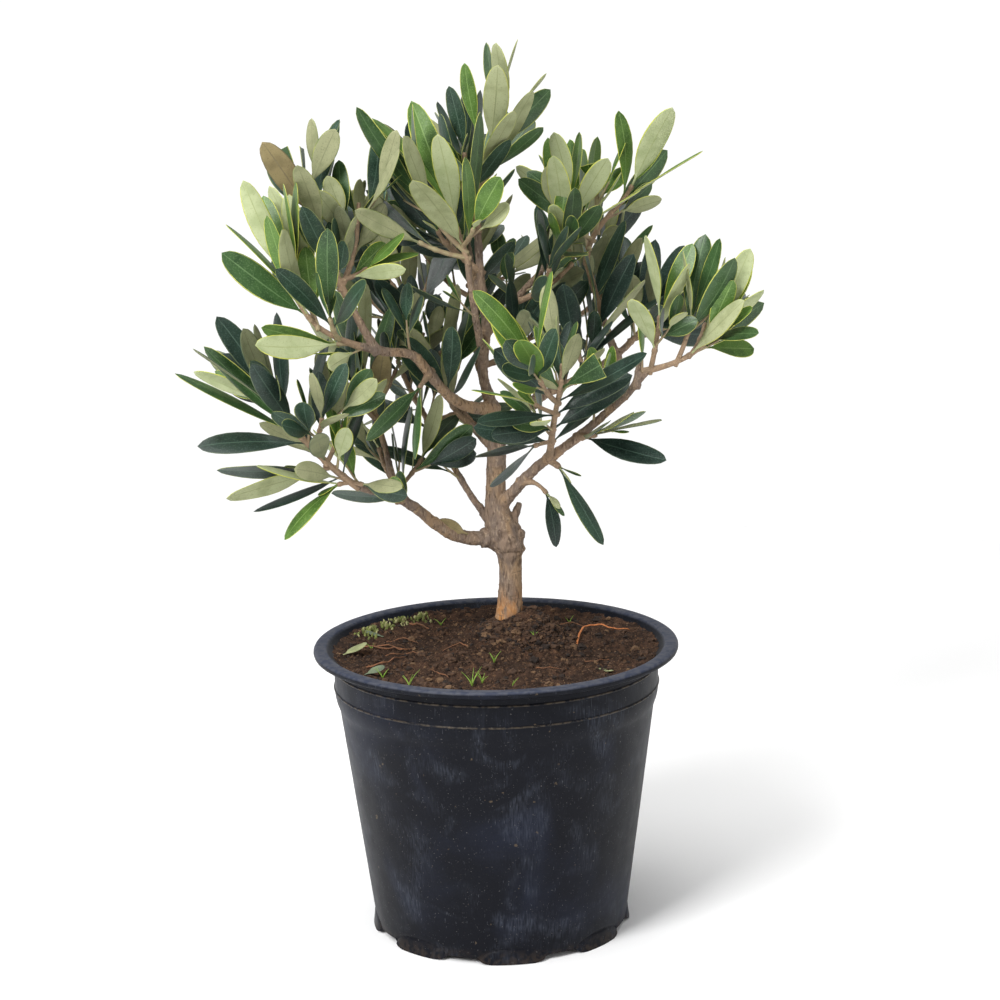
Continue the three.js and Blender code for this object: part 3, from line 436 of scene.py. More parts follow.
def pair_places(twig):
    """Distance and number of each pair of leaves, from the tip down."""
    cut = twig.size.get("cut")
    distance = twig.length - (TWIG["stub"] if cut else 1)
    pair = 2 if cut else 0
    while distance > twig.size["bare"]:
        yield distance, pair
        distance -= min(LEAF["tip_spacing"] + LEAF["spacing_step"] * pair, LEAF["widest_spacing"])
        pair += 1


def leaf_spots(twig, draw):
    """Leaves sit in opposite pairs, each pair square to the next, from the tip down."""
    spots = []
    for distance, pair in pair_places(twig):
        point, way = twig.place(distance)
        for side in (0, 180):
            draws = [draw() for _ in range(7)]
            if draws[6] >= LEAF["lost"]:
                spots.append((point, way, pair, side, draws))
    return spots


FINE_NUDGES = [0, 18, -18, 36, -36, 54, -54, 72, -72, 90]
FINE_CROWD = {"limb": 0.6, "twig": 0.6, "own_leaf": 1.0, "other_leaf": 1.1}
BUD_CROWD = {**FINE_CROWD, "own_leaf": 0.8}
BUD = {"length": (9, 17), "width": (2.6, 4.2), "opening": (9, 19), "curl": -0.05}
SIDE_SHOOT = {
    "share": 0.62, "first": 9, "step": 7, "length": (8, 19), "leaf": (19, 35), "bare": 2,
    "opening": 40, "spread": 16, "lift": 0.25, "turn_up": 12,
}
LIMB_SHOOT = {"share": 0.55, "tip": 4, "from": 0.42, "step": 9}  # on the outer part of each bough
OPEN_MASSES = ("foliage_top", "foliage_hanging", "foliage_hanging_front")  # sky shows in these
SEEDS = {"ages": 500, "finer": 9000, "limbs": 12000, "buds": 15000}


class Mass:
    """One mass of foliage and what has grown in it."""

    def __init__(self, index, name, on, seed, rows):
        self.index, self.name, self.seed, self.limb = index, name, seed, limbs[on]
        self.sizes = [dict(zip(ROW, row), **dict(*row[len(ROW) :])) for row in rows]
        at = self.sizes[0]["at"]
        self.joint = self.limb.length if at is TIP else at
        self.low, self.high = (np.array(corner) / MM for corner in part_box(name))
        self.twigs, self.leaves, self.spare, self.shoots = [], [], [], []

    def holds(self, points, slack):
        return bool(np.all((points >= self.low - slack) & (points <= self.high + slack)))

    def twig_fits(self, twig):
        for distance in range(0, 2 * math.floor(twig.length / 2) + 1, 2):
            point, foot = twig.place(distance)[0][None, :], distance < CROWD["clear_foot"]
            if crowd.touches(point, CROWD, self.index, foot=foot):
                return False
        return True

    def grow_twigs(self):
        """The stem, and the shoots that find room."""
        root, way = self.limb.place(self.joint)
        start = root + way * GAP if self.sizes[0]["at"] is TIP else root
        for size in self.sizes:
            facts = dict(size=size, kind="shoot" if self.twigs else "stem")
            foot = self.twigs[0].place(size["at"])[0] if self.twigs else start
            self.twigs.append(Branch(foot, size["length"], size["heading"], size["rise"], **facts))
        self.twigs = [twig for twig in self.twigs if twig.kind == "stem" or self.twig_fits(twig)]
        for number, twig in enumerate(self.twigs):
            twig.id = 100 * self.index + number
            crowd.add_branch(twig, twig_radius, Crowd.TWIG, self.index)

    def grow_leaf(self, twig, spot, nudges, room, slack=math.inf):
        """The first turn of a leaf that finds room, or none."""
        for nudge in nudges:
            leaf = Leaf(twig, spot, nudge)
            if self.holds(leaf.blade_points(0.2, 1), slack) and leaf.fits(self.index, room):
                crowd.add(leaf.blade_points(0, 1), Crowd.LEAF, self.index, -1, 0)
                self.leaves.append(leaf)
                return leaf
        return None

    def grow_leaves(self):
        """The part's own leaves, and the spots that its coarser solids had no room for."""
        draw = random_from(self.seed)
        for twig in self.twigs:
            for spot in leaf_spots(twig, draw):
                if not self.grow_leaf(twig, spot, LEAF["nudges"], CROWD):
                    self.spare.append((twig, spot))

    def grow_finer(self):
        """Leaves for the spare spots, then short shoots along the twigs."""
        draw = random_from(self.seed + SEEDS["finer"])
        for twig, spot in self.spare:
            self.grow_leaf(twig, spot, FINE_NUDGES, FINE_CROWD, 2.5)
        for twig in [] if self.name in OPEN_MASSES else self.twigs:
            distance = twig.length - SIDE_SHOOT["first"]
            while distance > twig.size["bare"]:
                self.grow_shoot(twig, distance, draw)
                distance -= SIDE_SHOOT["step"]

    def grow_shoot(self, twig, distance, draw):
        """A short shoot from a twig's or bough's side, kept where its leaves find room."""
        picks = [draw() for _ in range(7)]
        if picks[0] >= SIDE_SHOOT["share"]:
            return False
        foot, way = twig.place(distance)
        outward = square_to(UP if abs(way[2]) < 0.9 else ACROSS, way)
        outward = turn_about(outward, way, 360 * picks[1])
        opening = math.radians(SIDE_SHOOT["opening"] + SIDE_SHOOT["spread"] * picks[2])
        lean = way * math.cos(opening) + outward * math.sin(opening) + UP * SIDE_SHOOT["lift"]
        lean = unit(lean)
        length = between(SIDE_SHOOT["length"], picks[3])
        heading = math.degrees(math.atan2(lean[1], lean[0]))
        rise = math.degrees(math.asin(lean[2]))
        leaf = between(SIDE_SHOOT["leaf"], picks[5])
        size = dict(turn=360 * picks[4], leaf=leaf, bare=SIDE_SHOOT["bare"])
        rises = [rise, rise + SIDE_SHOOT["turn_up"]]
        shoot = Branch(foot, length, [heading], rises, size=size, kind="fine", id=twig.id)
        if not self.holds(shoot.points, 1):
            return False
        spots = leaf_spots(shoot, draw)
        found = [self.grow_leaf(shoot, spot, FINE_NUDGES, FINE_CROWD, 2.5) for spot in spots]
        if any(found):
            self.shoots.append(shoot)
        return any(found)

    def grow_buds(self):
        """A pair of new leaves at the tip of each twig that wasn't cut."""
        draw = random_from(self.seed + SEEDS["buds"])
        for twig in self.twigs + self.shoots:
            point, way = twig.place(twig.length)
            if twig.size.get("cut"):
                continue
            across = square_to(ACROSS if abs(way[1]) < 0.9 else UP, way)
            across = turn_about(across, way, 360 * draw())
            for side in (0, 180):
                picks = [draw() for _ in range(7)]
                leaf = Leaf(twig, (point, way, 0, side, picks), 0)
                outward = turn_about(across, way, side)
                angle = math.radians(between(BUD["opening"], picks[0]))
                leaf.way = unit(way * math.cos(angle) + outward * math.sin(angle))
                leaf.face = square_to(-outward, leaf.way)
                leaf.length = between(BUD["length"], picks[1])
                leaf.width = between(BUD["width"], picks[2])
                leaf.curl, leaf.bud = BUD["curl"], True
                if leaf.fits(self.index, BUD_CROWD):
                    self.leaves.append(leaf)


def grow_limb_shoots(limb, draw):
    """Shoots along a bough's outer part, each in the reach of the mass it stands in."""
    distance = limb.length - LIMB_SHOOT["tip"]
    while distance > LIMB_SHOOT["from"] * limb.length:
        point, _ = limb.place(distance)
        for mass in masses:
            if mass.holds(point, 3) and draw() < LIMB_SHOOT["share"]:
                if mass.grow_shoot(limb, distance, draw):
                    break
        distance -= LIMB_SHOOT["step"]


limbs = {}
for name, on, at, length, radius, headings, rises in LIMBS:
    start = limbs[on].place(at)[0] if on else [TRUNK["x"], TRUNK["y"], SOIL_FOOT + GAP]
    limbs[name] = Branch(start, length, headings, rises, name=name, radius=radius, on=on)
stubs = [
    Branch(limbs[on].place(at)[0], length, [heading], [rise], name="stub", radius=radius, on=on)
    for on, at, length, radius, heading, rise in STUBS
]
for limb in limbs.values():
    for branch in [limb] + [stub for stub in stubs if limbs[stub.on] is limb]:
        crowd.add_branch(branch, limb_radius, Crowd.LIMB)
masses = [Mass(index, name, *MASSES[name]) for index, name in enumerate(MASSES)]
for mass in masses:
    mass.grow_twigs()
for mass in masses:
    mass.grow_leaves()
for mass in masses:
    mass.grow_finer()
for number, limb in enumerate(limbs.values()):
    if limb.on:
        grow_limb_shoots(limb, random_from(SEEDS["limbs"] + number))
for mass in masses:
    mass.grow_buds()

# ---------------------------------------------------------------- meshes


def add_object(name, data):
    piece = bpy.data.objects.new(name, data)
    bpy.context.scene.collection.objects.link(piece)
    return piece


class Bag:
    """Vertices and faces gathered for one joined piece, in millimetres."""

    def __init__(self, name, *materials):
        self.name, self.materials = name, materials
        self.vertices, self.faces, self.slots, self.count = [], [], [], 0

    def add(self, vertices, faces, slots=0):
        self.vertices.append(np.asarray(vertices, float))
        self.faces += [[v + self.count for v in face] for face in faces]
        self.slots.append(np.broadcast_to(slots, len(faces)))
        self.count += len(vertices)

    def mesh(self):
        mesh = bpy.data.meshes.new(self.name)
        mesh.from_pydata((np.vstack(self.vertices) * MM).tolist(), [], self.faces)
        return mesh

    def build(self, slot, nodes=(), smooth=True):
        mesh = self.mesh()
        for material in self.materials:
            mesh.materials.append(material)
        mesh.polygons.foreach_set("material_index", np.concatenate(self.slots).astype(np.int32))
        mesh.polygons.foreach_set("use_smooth", np.full(len(mesh.polygons), smooth))
        mesh.validate()
        return placed(add_object(self.name, mesh), nodes)


def placed(piece, nodes=()):
    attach(piece, "root")
    if nodes:
        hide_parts(*nodes)
    return piece


def grid_faces(rows, columns):
    """Quads of a grid whose columns close into a ring."""
    faces = []
    for first in range(0, (rows - 1) * columns, columns):
        for c in range(columns):
            after = first + (c + 1) % columns
            faces.append([first + c, after, after + columns, first + c + columns])
    return faces


def capped_faces(rows, columns, foot, tip):
    """Faces of a closed tube of rings, with a middle vertex at each end."""
    faces, last = grid_faces(rows, columns), (rows - 1) * columns
    for i in range(columns):
        j = (i + 1) % columns
        faces += [[foot, j, i], [tip, last + i, last + j]]
    return faces


def tube_mesh(points, radii, sides):
    """Vertices and faces of a round tube along points, with a frame that doesn't twist."""
    points = np.asarray(points, float)
    ways = np.gradient(points, axis=0)
    ways /= np.linalg.norm(ways, axis=1)[:, None]
    side = square_to(SIDEWAYS if abs(ways[0][0]) < 0.9 else UP, ways[0])
    angles = 2 * math.pi * np.arange(sides) / sides
    rings = []
    for point, way, radius in zip(points, ways, radii):
        side = square_to(side, way)
        around = np.outer(np.cos(angles), side) + np.outer(np.sin(angles), np.cross(way, side))
        rings.append(point + radius * around)
    vertices = np.vstack(rings + [points[:1], points[-1:]])
    return vertices, capped_faces(len(points), sides, len(vertices) - 2, len(vertices) - 1)


# ---------------------------------------------------------------- materials


def linear(code):
    """Linear colour of a hexadecimal display colour."""
    shares = [int(code[i : i + 2], 16) / 255 for i in (0, 2, 4)]
    return (*[v / 12.92 if v <= 0.04045 else ((v + 0.055) / 1.055) ** 2.4 for v in shares], 1.0)


class Surface:
    """A Principled material with its noise layers, built on object coordinates in metres."""

    def __init__(self, name, colour, roughness, **sockets):
        self.material = bpy.data.materials.new(name)
        self.material.use_nodes = True
        self.tree = self.material.node_tree
        self.shader = self.tree.nodes["Principled BSDF"]
        self.colour, self.bump = linear(colour), None
        self.feed(self.shader, Base_Color=self.colour, Roughness=roughness, **sockets)
        self.place = self.node("TexCoord").outputs["Object"]

    def put(self, socket, value):
        """Sets an input, or links it where the value is another node's output."""
        if isinstance(value, bpy.types.NodeSocket):
            self.tree.links.new(value, socket)
        else:
            socket.default_value = value

    def feed(self, node, **inputs):
        for name, value in inputs.items():
            self.put(node.inputs[name.replace("_", " ")], value)

    def node(self, kind, **inputs):
        node = self.tree.nodes.new("ShaderNode" + kind)
        self.feed(node, **inputs)
        return node

    def noise(self, size, detail, stretch=None, distortion=0.0, turn=(0, 0, 0)):
        """Noise whose features are about the given size in millimetres."""
        source = self.place
        if stretch:
            turned = [math.radians(angle) for angle in turn]
            source = self.node("Mapping", Vector=source, Scale=stretch, Rotation=turned).outputs[0]
        scale = 1 / (size * MM)
        inputs = dict(Vector=source, Scale=scale, Detail=detail, Distortion=distortion)
        return self.node("TexNoise", **inputs).outputs["Fac"]

    def mask(self, value, low, high):
        """A value stretched to run from 0 at low to 1 at high."""
        node = self.node("MapRange", Value=value, From_Min=low, From_Max=high)
        node.interpolation_type = "SMOOTHSTEP"
        return node.outputs["Result"]

    def spots(self, size, detail, low, high, *shape, **more):
        """A mask of noise of the given size."""
        return self.mask(self.noise(size, detail, *shape, **more), low, high)

    def times(self, *values):
        result = values[0]
        for value in values[1:]:
            node = self.node("Math")
            node.operation = "MULTIPLY"
            self.put(node.inputs[0], result)
            self.put(node.inputs[1], value)
            result = node.outputs[0]
        return result

    def heights(self, low, high):
        """A mask that runs from 0 at one height above the ground to 1 at another."""
        up = self.node("SeparateXYZ", Vector=self.place).outputs["Z"]
        return self.mask(up, low * MM, high * MM)

    def layer(self, colour, *masks):
        """Puts a colour over what is there, as far as the masks' product says."""
        node = self.tree.nodes.new("ShaderNodeMix")
        node.data_type = "RGBA"
        self.feed(node, Factor=self.times(*[mask for mask in masks if mask != 1]))
        self.put(node.inputs[6], self.colour)
        self.put(node.inputs[7], linear(colour))
        self.colour = node.outputs[2]
        self.feed(self.shader, Base_Color=self.colour)

    def rough(self, value, low, high):
        node = self.node("MapRange", Value=value, To_Min=low, To_Max=high)
        self.feed(self.shader, Roughness=node.outputs["Result"])

    def relief(self, size, detail, depth, strength, stretch=None):
        """Bump of noise, of the given depth in millimetres."""
        height = self.noise(size, detail, stretch)
        node = self.node("Bump", Strength=strength, Distance=depth * MM, Height=height)
        if self.bump:
            self.feed(node, Normal=self.bump)
        self.bump = node.outputs["Normal"]
        self.feed(self.shader, Normal=self.bump)


def layered(name, colour, roughness, layers, reliefs, **sockets):
    """A material from layers of colour, amount and spots, and reliefs."""
    surface = Surface(name, colour, roughness, **sockets)
    for colour, amount, *spots in layers:
        surface.layer(colour, surface.spots(*spots), float(amount))
    for relief in reliefs:
        surface.relief(*relief)
    return surface.material


def leaf_top(name, deep, usual, light, roughness):
    # The light flecks on top are partly the leaf's own pale scales and partly painted sheen.
    layers = [(deep, 1, 9, 2, 0.42, 0.7), (light, 0.55, 0.7, 4, 0.5, 0.7)]
    reliefs = [(0.7, 3, 0.12, 0.5), (3.5, 2, 0.3, 0.35)]
    return layered(name, usual, roughness, layers, reliefs, IOR=1.42)


def leaf_under(name, usual, shade, fleck):
    layers = [(shade, 1, 8, 2, 0.4, 0.72), (fleck, 0.55, 0.7, 3, 0.56, 0.7)]
    return layered(name, usual, 0.75, layers, [(0.7, 4, 0.16, 0.7), (4, 2, 0.3, 0.35)], IOR=1.35)


def plain(name, colour, other, size, roughness, depth=0.1):
    layers, reliefs = [(other, 1, size, 3, 0.35, 0.7)], [(size * 0.4, 3, depth, 0.6)]
    return layered(name, colour, roughness, layers, reliefs)


# Leaf ages from the shoot's young tip down. Roughness on top and of the edge; colours of the top
# (deep, usual, and the light flecks, partly the leaf's own pale scales and partly painted sheen),
# the underside (usual, shade, fleck), the margin and the rib on each side.
AGES = {
    "young": (
        0.38, 0.5, "3e5c22 52722e 789454", "acb48a 9aa478 868e62",
        "c8c854 a8b244", "789450 6a8844", "9aa272 8e9866",
    ),
    "fresh": (
        0.38, 0.5, "263f20 35512b 5c764e", "a0a57e 8e946c 787e56",
        "b0b254 8a9446", "587448 4c683e", "8a9064 7e845a",
    ),
    "mature": (
        0.36, 0.5, "1f3327 2b4232 566c5c", "969874 848864 6e7150",
        "969c56 647444", "4c6454 425a4a", "828460 767856",
    ),
    # Old colours: darker partly as painted shade for the crown's inside, where most are dealt.
    "old": (
        0.34, 0.5, "16261f 20322a 465950", "7e8262 6c7154 5a5c42",
        "546244 384a38", "3c5246 344a3e", "6c6f50 606346",
    ),
    "faded": (
        0.6, 0.6, "545032 66603e 807654", "92845e 7e7150 685a3e",
        "746844 605638", "746a4c 665c42", "7c7050 6e6246",
    ),
}
LEAF_MATERIALS = []
for age, (rough_top, rough_edge, top, under, margin, rib_top, rib_under) in AGES.items():
    name = f"leaf_{age}_"
    LEAF_MATERIALS += [
        leaf_top(name + "top", *top.split(), rough_top),
        leaf_under(name + "under", *under.split()),
        plain(name + "margin", *margin.split(), 6, rough_edge),
        plain(name + "rib_top", *rib_top.split(), 4, rough_edge),
        plain(name + "rib_under", *rib_under.split(), 4, 0.6),
    ]

# ---------------------------------------------------------------- leaves

ROWS = [0, 0.035, 0.07, 0.11, 0.16, 0.23, 0.32, 0.42, 0.53, 0.64, 0.74, 0.83, 0.9, 0.95, 0.98, 1.0]
COLUMNS = np.array([-1, -0.925, -0.5, -0.045, 0.045, 0.5, 0.925, 1])
LEAF_PARTS = TOP, UNDER, MARGIN, RIB_TOP, RIB_UNDER = range(5)
BLADE = {
    "tip": 0.985, "fullness": 2.1, "blunt_foot": 0.98, "blunt_tip": 0.48,  # outline
    "stalk_to": 0.12, "stalk_more": 0.1, "point_from": 0.9, "point": 0.3,  # least half width
    "thick": 0.42, "thick_edge": 0.65, "thick_from": 1.5,  # millimetres, and share at the edge
    "rib": 0.13, "groove": 0.25, "waves": 9,
    "rib_at": [0, 0.1, 0.9, 1], "rib_depth": [0.75, 0.5, 0.2, 0],
}
BLADE_RANGES = {  # how single leaves differ; the turn along the blade is in degrees
    "camber": (-0.08, 0.22), "sickle": (-0.025, 0.025), "turn": (-17, 17), "peak": (1.14, 1.48),
    "droop": (-0.015, 0.015), "wave": (0, 0.05),
}


def leaf_shape(leaf):
    """Vertices of a blade with its rib, rolled margins and its own bend, as one closed lens."""
    own = random_from(int(leaf.draws[0] * 1e6) + int(leaf.draws[1] * 1e5))
    picks = [between(span, own()) for span in BLADE_RANGES.values()]
    camber, sickle, turn, peak, droop, wave = picks
    outer = np.multiply.outer
    t = leaf.end * np.array(ROWS)
    share = np.clip((t - LEAF["stalk"]) / (BLADE["tip"] - LEAF["stalk"]), 0, 1)
    belly = 1 - np.power(np.abs(2 * np.power(share, peak) - 1), BLADE["fullness"])
    belly = np.clip(belly, 0, 1)
    blunt = BLADE["blunt_foot"] + (BLADE["blunt_tip"] - BLADE["blunt_foot"]) * share
    stalk = np.where(t < BLADE["stalk_to"], LEAF["stalk_radius"] + BLADE["stalk_more"], 0)
    point = np.where((t > BLADE["point_from"]) & (t < 1), BLADE["point"], 0)
    half = np.maximum(leaf.width * 0.5 * np.power(belly, blunt), np.maximum(stalk, point))
    side = np.cross(leaf.way, leaf.face)
    arch = leaf.length * np.sin(math.pi * t)
    rib = leaf.root + outer(t * leaf.length, leaf.way) + outer(sickle * arch, side)
    rib = rib + outer(leaf.curl * leaf.length * t * t + droop * arch, leaf.face)
    cos, sin = np.cos(math.radians(turn) * t), np.sin(math.radians(turn) * t)
    sides = outer(cos, side) + outer(sin, leaf.face)
    faces = outer(cos, leaf.face) - outer(sin, side)
    u = COLUMNS
    ridge = np.exp(-((u / BLADE["rib"]) ** 2))
    bow = camber * outer(half, 1 - u * u)
    bow += wave * outer(half * np.sin(BLADE["waves"] * t + 6 * camber), np.abs(u) * u)
    groove = outer(np.minimum(half / 2, 1), -BLADE["groove"] * ridge)
    thinner = 1 - (1 - BLADE["thick_edge"]) * np.abs(u)
    body = BLADE["thick"] * outer(np.minimum(half / BLADE["thick_from"], 1), thinner)
    body += outer(np.interp(t, BLADE["rib_at"], BLADE["rib_depth"]), ridge)
    grid = rib[:, None, :] + outer(half, u)[:, :, None] * sides[:, None, :]
    top = grid + (bow + groove)[:, :, None] * faces[:, None, :]
    under = grid + (bow - body)[:, :, None] * faces[:, None, :]
    return np.vstack([top.reshape(-1, 3), under[:, 1:-1, :].reshape(-1, 3)])


def leaf_faces():
    """Faces of one closed blade, the same for every leaf, with their parts."""
    rows, columns = len(ROWS), len(COLUMNS)
    top = np.arange(rows * columns).reshape(rows, columns)
    inner = rows * columns + np.arange(rows * (columns - 2)).reshape(rows, columns - 2)
    under = np.hstack([top[:, :1], inner, top[:, -1:]]).tolist()
    top = top.tolist()
    faces, parts = [], []
    for r in range(rows - 1):
        for c in range(columns - 1):
            rim, rib = c in (0, columns - 2), c == columns // 2 - 1
            faces.append([top[r][c], top[r][c + 1], top[r + 1][c + 1], top[r + 1][c]])
            parts.append(MARGIN if rim else RIB_TOP if rib else TOP)
            faces.append([under[r + 1][c], under[r + 1][c + 1], under[r][c + 1], under[r][c]])
            parts.append(MARGIN if rim else RIB_UNDER if rib else UNDER)
    for row, step in ((0, -1), (rows - 1, 1)):
        for c in range(columns - 1):
            face = [top[row][c], top[row][c + 1], under[row][c + 1], under[row][c]]
            faces.append(list(dict.fromkeys(face))[::step])
            parts.append(MARGIN)
    return faces, np.array(parts)


FACES, PARTS = leaf_faces()

# How the ages are dealt out to a mass's sprays: the share of young, fresh, mature and old.
AGE_SHARES = {
    "foliage_top": (0.35, 0.5, 0.15, 0),
    "foliage_front_upper": (0.45, 0.35, 0.2, 0),
    "foliage_upper_right": (0.4, 0.4, 0.2, 0),
    "foliage_upper_mid": (0.5, 0.4, 0.1, 0),
    "foliage_upper_left": (0.2, 0.4, 0.3, 0.1),
    "foliage_mid_left": (0.4, 0.35, 0.25, 0),
    "foliage_low_left": (0.12, 0.3, 0.4, 0.18),
    "foliage_right": (0.12, 0.38, 0.3, 0.2),
    "foliage_front": (0.2, 0.2, 0.3, 0.3),
    "foliage_mid_inner": (0, 0.4, 0.3, 0.3),
    "foliage_lower_right": (0, 0, 0.4, 0.6),
    "foliage_hanging": (0, 0, 0.6, 0.4),
    "foliage_hanging_front": (0, 0, 0.6, 0.4),
}
# Masses not listed, mostly inside the crown: mature and old leaves, partly painted shade.
INSIDE_AGES_WITH_SHADE = (0, 0.18, 0.42, 0.4)
FRESH, FADED_AGE = 1, 4
FADED = 0.035  # share of the leaves below the tip pair that have faded
TURNED_OUTSIDE, TURNED_INSIDE = 0.3, 0.5  # share that twist to show their upper side in front
SPRAY_SPREAD, PAIR_STEP = 0.16, 0.09  # how the ages differ within a spray, and down it

# The joined pieces, each with what the names of its masses start with.
LEAF_PIECES = {
    "leaves_upper": (
        "foliage_front_upper", "foliage_mid", "foliage_upper", "foliage_top", "foliage_right",
    ),
    "leaves_low": ("foliage_low", "foliage_thin", "foliage_front", "foliage_hanging"),
    "leaves_inner": ("foliage_inner",),
    "leaves_back": ("foliage_back", "foliage_heart"),
}

# Single leaves that stand on a bough's side: bough, distance, heading, rise, length, width, age.
STRAYS = [("bough_low_left", 20, 192, 26, 18, 8.5, FADED_AGE)]
STRAY_SHIFT = np.array([0, -1.5, 0.9])  # out to the bough's bark, in bough radii
STRAY_FACE = np.array([0.3, 1.0, 0.2])


def deal_age(shares, place):
    """The age at a place from 0 to 1 among the shares."""
    total = 0
    for age, share in enumerate(shares):
        total += share
        if place < total:
            return age
    return len(shares) - 1


class LooseLeaf:
    """A blade on its own, with what leaf_shape asks of a leaf."""

    def __init__(self, root, way, face, length, width, curl, draws):
        self.root, self.way, self.face, self.end = root, way, square_to(face, way), 1
        self.length, self.width, self.curl, self.draws = length, width, curl, draws


def age_leaves(mass):
    """Each spray has its own age; its leaves grow darker from the tip down."""
    shares = AGE_SHARES.get(mass.name, INSIDE_AGES_WITH_SHADE)
    turned = TURNED_OUTSIDE if mass.name in AGE_SHARES else TURNED_INSIDE
    draw = random_from(mass.seed + SEEDS["ages"])
    picks = {}
    for leaf in mass.leaves:
        if leaf.twig not in picks:
            picks[leaf.twig] = draw()
        pick = picks[leaf.twig] + SPRAY_SPREAD * (draw() - 0.5)
        leaf.age = deal_age(shares, min(max(pick + PAIR_STEP * (leaf.pair - 1), 0), 0.999))
        if draw() < FADED and leaf.pair > 1:
            leaf.age = FADED_AGE
        if leaf.face[1] > 0 and draw() < turned:
            leaf.face = -leaf.face
        if leaf.end < 1 and leaf.face[1] > 0:  # a leaf cut straight across shows its upper side
            leaf.face = -leaf.face
        if leaf.end < 1 or leaf.bud:
            leaf.age = min(leaf.age, FRESH)


def piece_of(mass):
    """The joined piece that a mass's leaves belong to."""
    return next(piece for piece, starts in LEAF_PIECES.items() if mass.name.startswith(starts))


leaf_bags = {name: Bag(name, *LEAF_MATERIALS) for name in LEAF_PIECES}


for mass in masses:
    age_leaves(mass)
    for leaf in mass.leaves:
        leaf_bags[piece_of(mass)].add(leaf_shape(leaf), FACES, PARTS + len(LEAF_PARTS) * leaf.age)
for name, distance, heading, rise, length, width, age in STRAYS:
    point, _ = limbs[name].place(distance)
    point = point + STRAY_SHIFT * limb_radius(limbs[name], distance)
    stray = LooseLeaf(point, direction(heading, rise), STRAY_FACE, length, width, 0.02, [0.3, 0.5])
    leaf_bags["leaves_low"].add(leaf_shape(stray), FACES, PARTS + len(LEAF_PARTS) * age)

# ---------------------------------------------------------------- twigs


def eased(points, rounds):
    """The points of a path, evened out between its two ends."""
    for _ in range(rounds):
        points[1:-1] = (points[:-2] + 2 * points[1:-1] + points[2:]) / 4
    return points


def resampled(points, places, at):
    return np.stack([np.interp(at, places, points[:, axis]) for axis in range(3)], 1)


def smooth_path(branch, step, before=0.0):
    """Points along a branch on a smooth curve, starting a little way inside what it grows from."""
    walk = branch.points
    if before:
        walk = np.vstack([walk[:1] - unit(walk[1] - walk[0]) * before, walk])
    lengths = np.concatenate([[0], np.cumsum(np.linalg.norm(np.diff(walk, axis=0), axis=1))])
    fine = np.linspace(0, lengths[-1], max(4, int(lengths[-1] / step) + 1))
    return eased(resampled(walk, lengths, fine), int(6 / step)), fine - before


twig_layers = [
    ("7c6852", 1, 5, 3, 0.42, 0.62),
    ("baa280", 0.7, 0.9, 3, 0.58, 0.7),
]
twig_bark = layered("twig_bark", "8e765e", 0.75, twig_layers, [(0.8, 4, 0.25, 0.7)])
green_layers = [("86745a", 1, 4, 3, 0.4, 0.62)]
green_bark = layered("twig_green", "968a68", 0.65, green_layers, [(0.8, 3, 0.15, 0.6)])

TWIG_LOOKS = {
    "step": 0.8, "inside": 2.5, "joint": 9, "joint_share": 0.96,  # how a stem meets its bough
    "node": 0.38, "node_length": 1.1, "node_shift": 0.6,  # swelling at each pair of leaves
    "fine_foot": 0.8, "fine_tip": 0.45, "green_from": 0.3,
}


def add_twig(bag, mass, twig):
    looks, fine = TWIG_LOOKS, twig.kind == "fine"
    points, distances = smooth_path(twig, looks["step"], 0 if fine else looks["inside"])
    radii = np.array([twig_radius(twig, d) for d in distances])
    if twig.kind == "stem":
        near = np.clip(1 - distances / looks["joint"], 0, 1) * looks["joint_share"]
        radii = np.maximum(radii, radii + (limb_radius(mass.limb, mass.joint) - radii) * near)
    if fine:
        radii = np.linspace(looks["fine_foot"], looks["fine_tip"], len(radii))
    for reach, _ in [] if fine else pair_places(twig):
        away = (distances - reach + looks["node_shift"]) / looks["node_length"]
        radii += looks["node"] * np.exp(-(away**2))
    young = AGE_SHARES.get(mass.name, INSIDE_AGES_WITH_SHADE)[0] > looks["green_from"]
    green = fine or (young and twig.kind != "stem")
    bag.add(*tube_mesh(points, radii, 6 if fine else 8), int(green))


twig_bag = Bag("twigs", twig_bark, green_bark)
for mass in masses:
    for twig in mass.twigs + mass.shoots:
        add_twig(twig_bag, mass, twig)
for name, bag in leaf_bags.items():
    bag.build("foliage", [mass.name for mass in masses if piece_of(mass) == name])
twig_bag.build("foliage")

# ---------------------------------------------------------------- trunk and boughs

bark = Surface("bark", "84705f", 0.85, Specular_IOR_Level=0.3)
bark.layer("74655a", bark.spots(5, 4, 0.42, 0.62, (1, 1, 0.35)))
bark.layer("9c8061", bark.spots(12, 3, 0.5, 0.66, (1, 1, 0.5)), 0.8)
bark.layer("b27e4c", bark.spots(5, 4, 0.36, 0.56, (1, 1, 0.4)), bark.heights(180, 160))
# Pale fine flecks: partly the bark's paler grain, partly painted highlight on its bumps.
bark.layer("b8a388", bark.spots(0.9, 4, 0.52, 0.68, (1, 1, 0.3)), 0.4)
bark.layer("524236", bark.spots(1.3, 4, 0.47, 0.34, (1, 1, 0.25)), 0.75)
bark.layer("6a5848", bark.spots(3.2, 3, 0.62, 0.7, (0.5, 0.5, 2.4)), 0.6)
bark.relief(0.9, 5, 0.6, 0.9, (1, 1, 0.4))

# How far a bough swells round its foot, where it isn't the usual amount.
COLLARS = {
    "bough_low_left": 1.8, "bough_right_low": 1.3, "bough_mid_left": 1.2, "bough_thin_left": 0.6,
}
USUAL_COLLAR, COLLAR_LENGTH = 0.9, 5
WOOD = {"step": 1.2, "inside": 3.0, "sides": 20, "voxel": 0.55, "ease": 6}
BURR = {"height": 197, "below": 5, "above": 16, "radius": 13, "swell": 2.3, "lumps": 3.4}
BARK_RELIEF = {  # height and size of each kind, and what has to be passed before it shows
    "ridges": (0.2, 1.7), "lumps": (0.35, 6), "warts": (0.9, 2, 0.32), "rings": (0.45, 9, 0.25),
    "drawn_out": 0.28, "ring_length": 1.9,
}


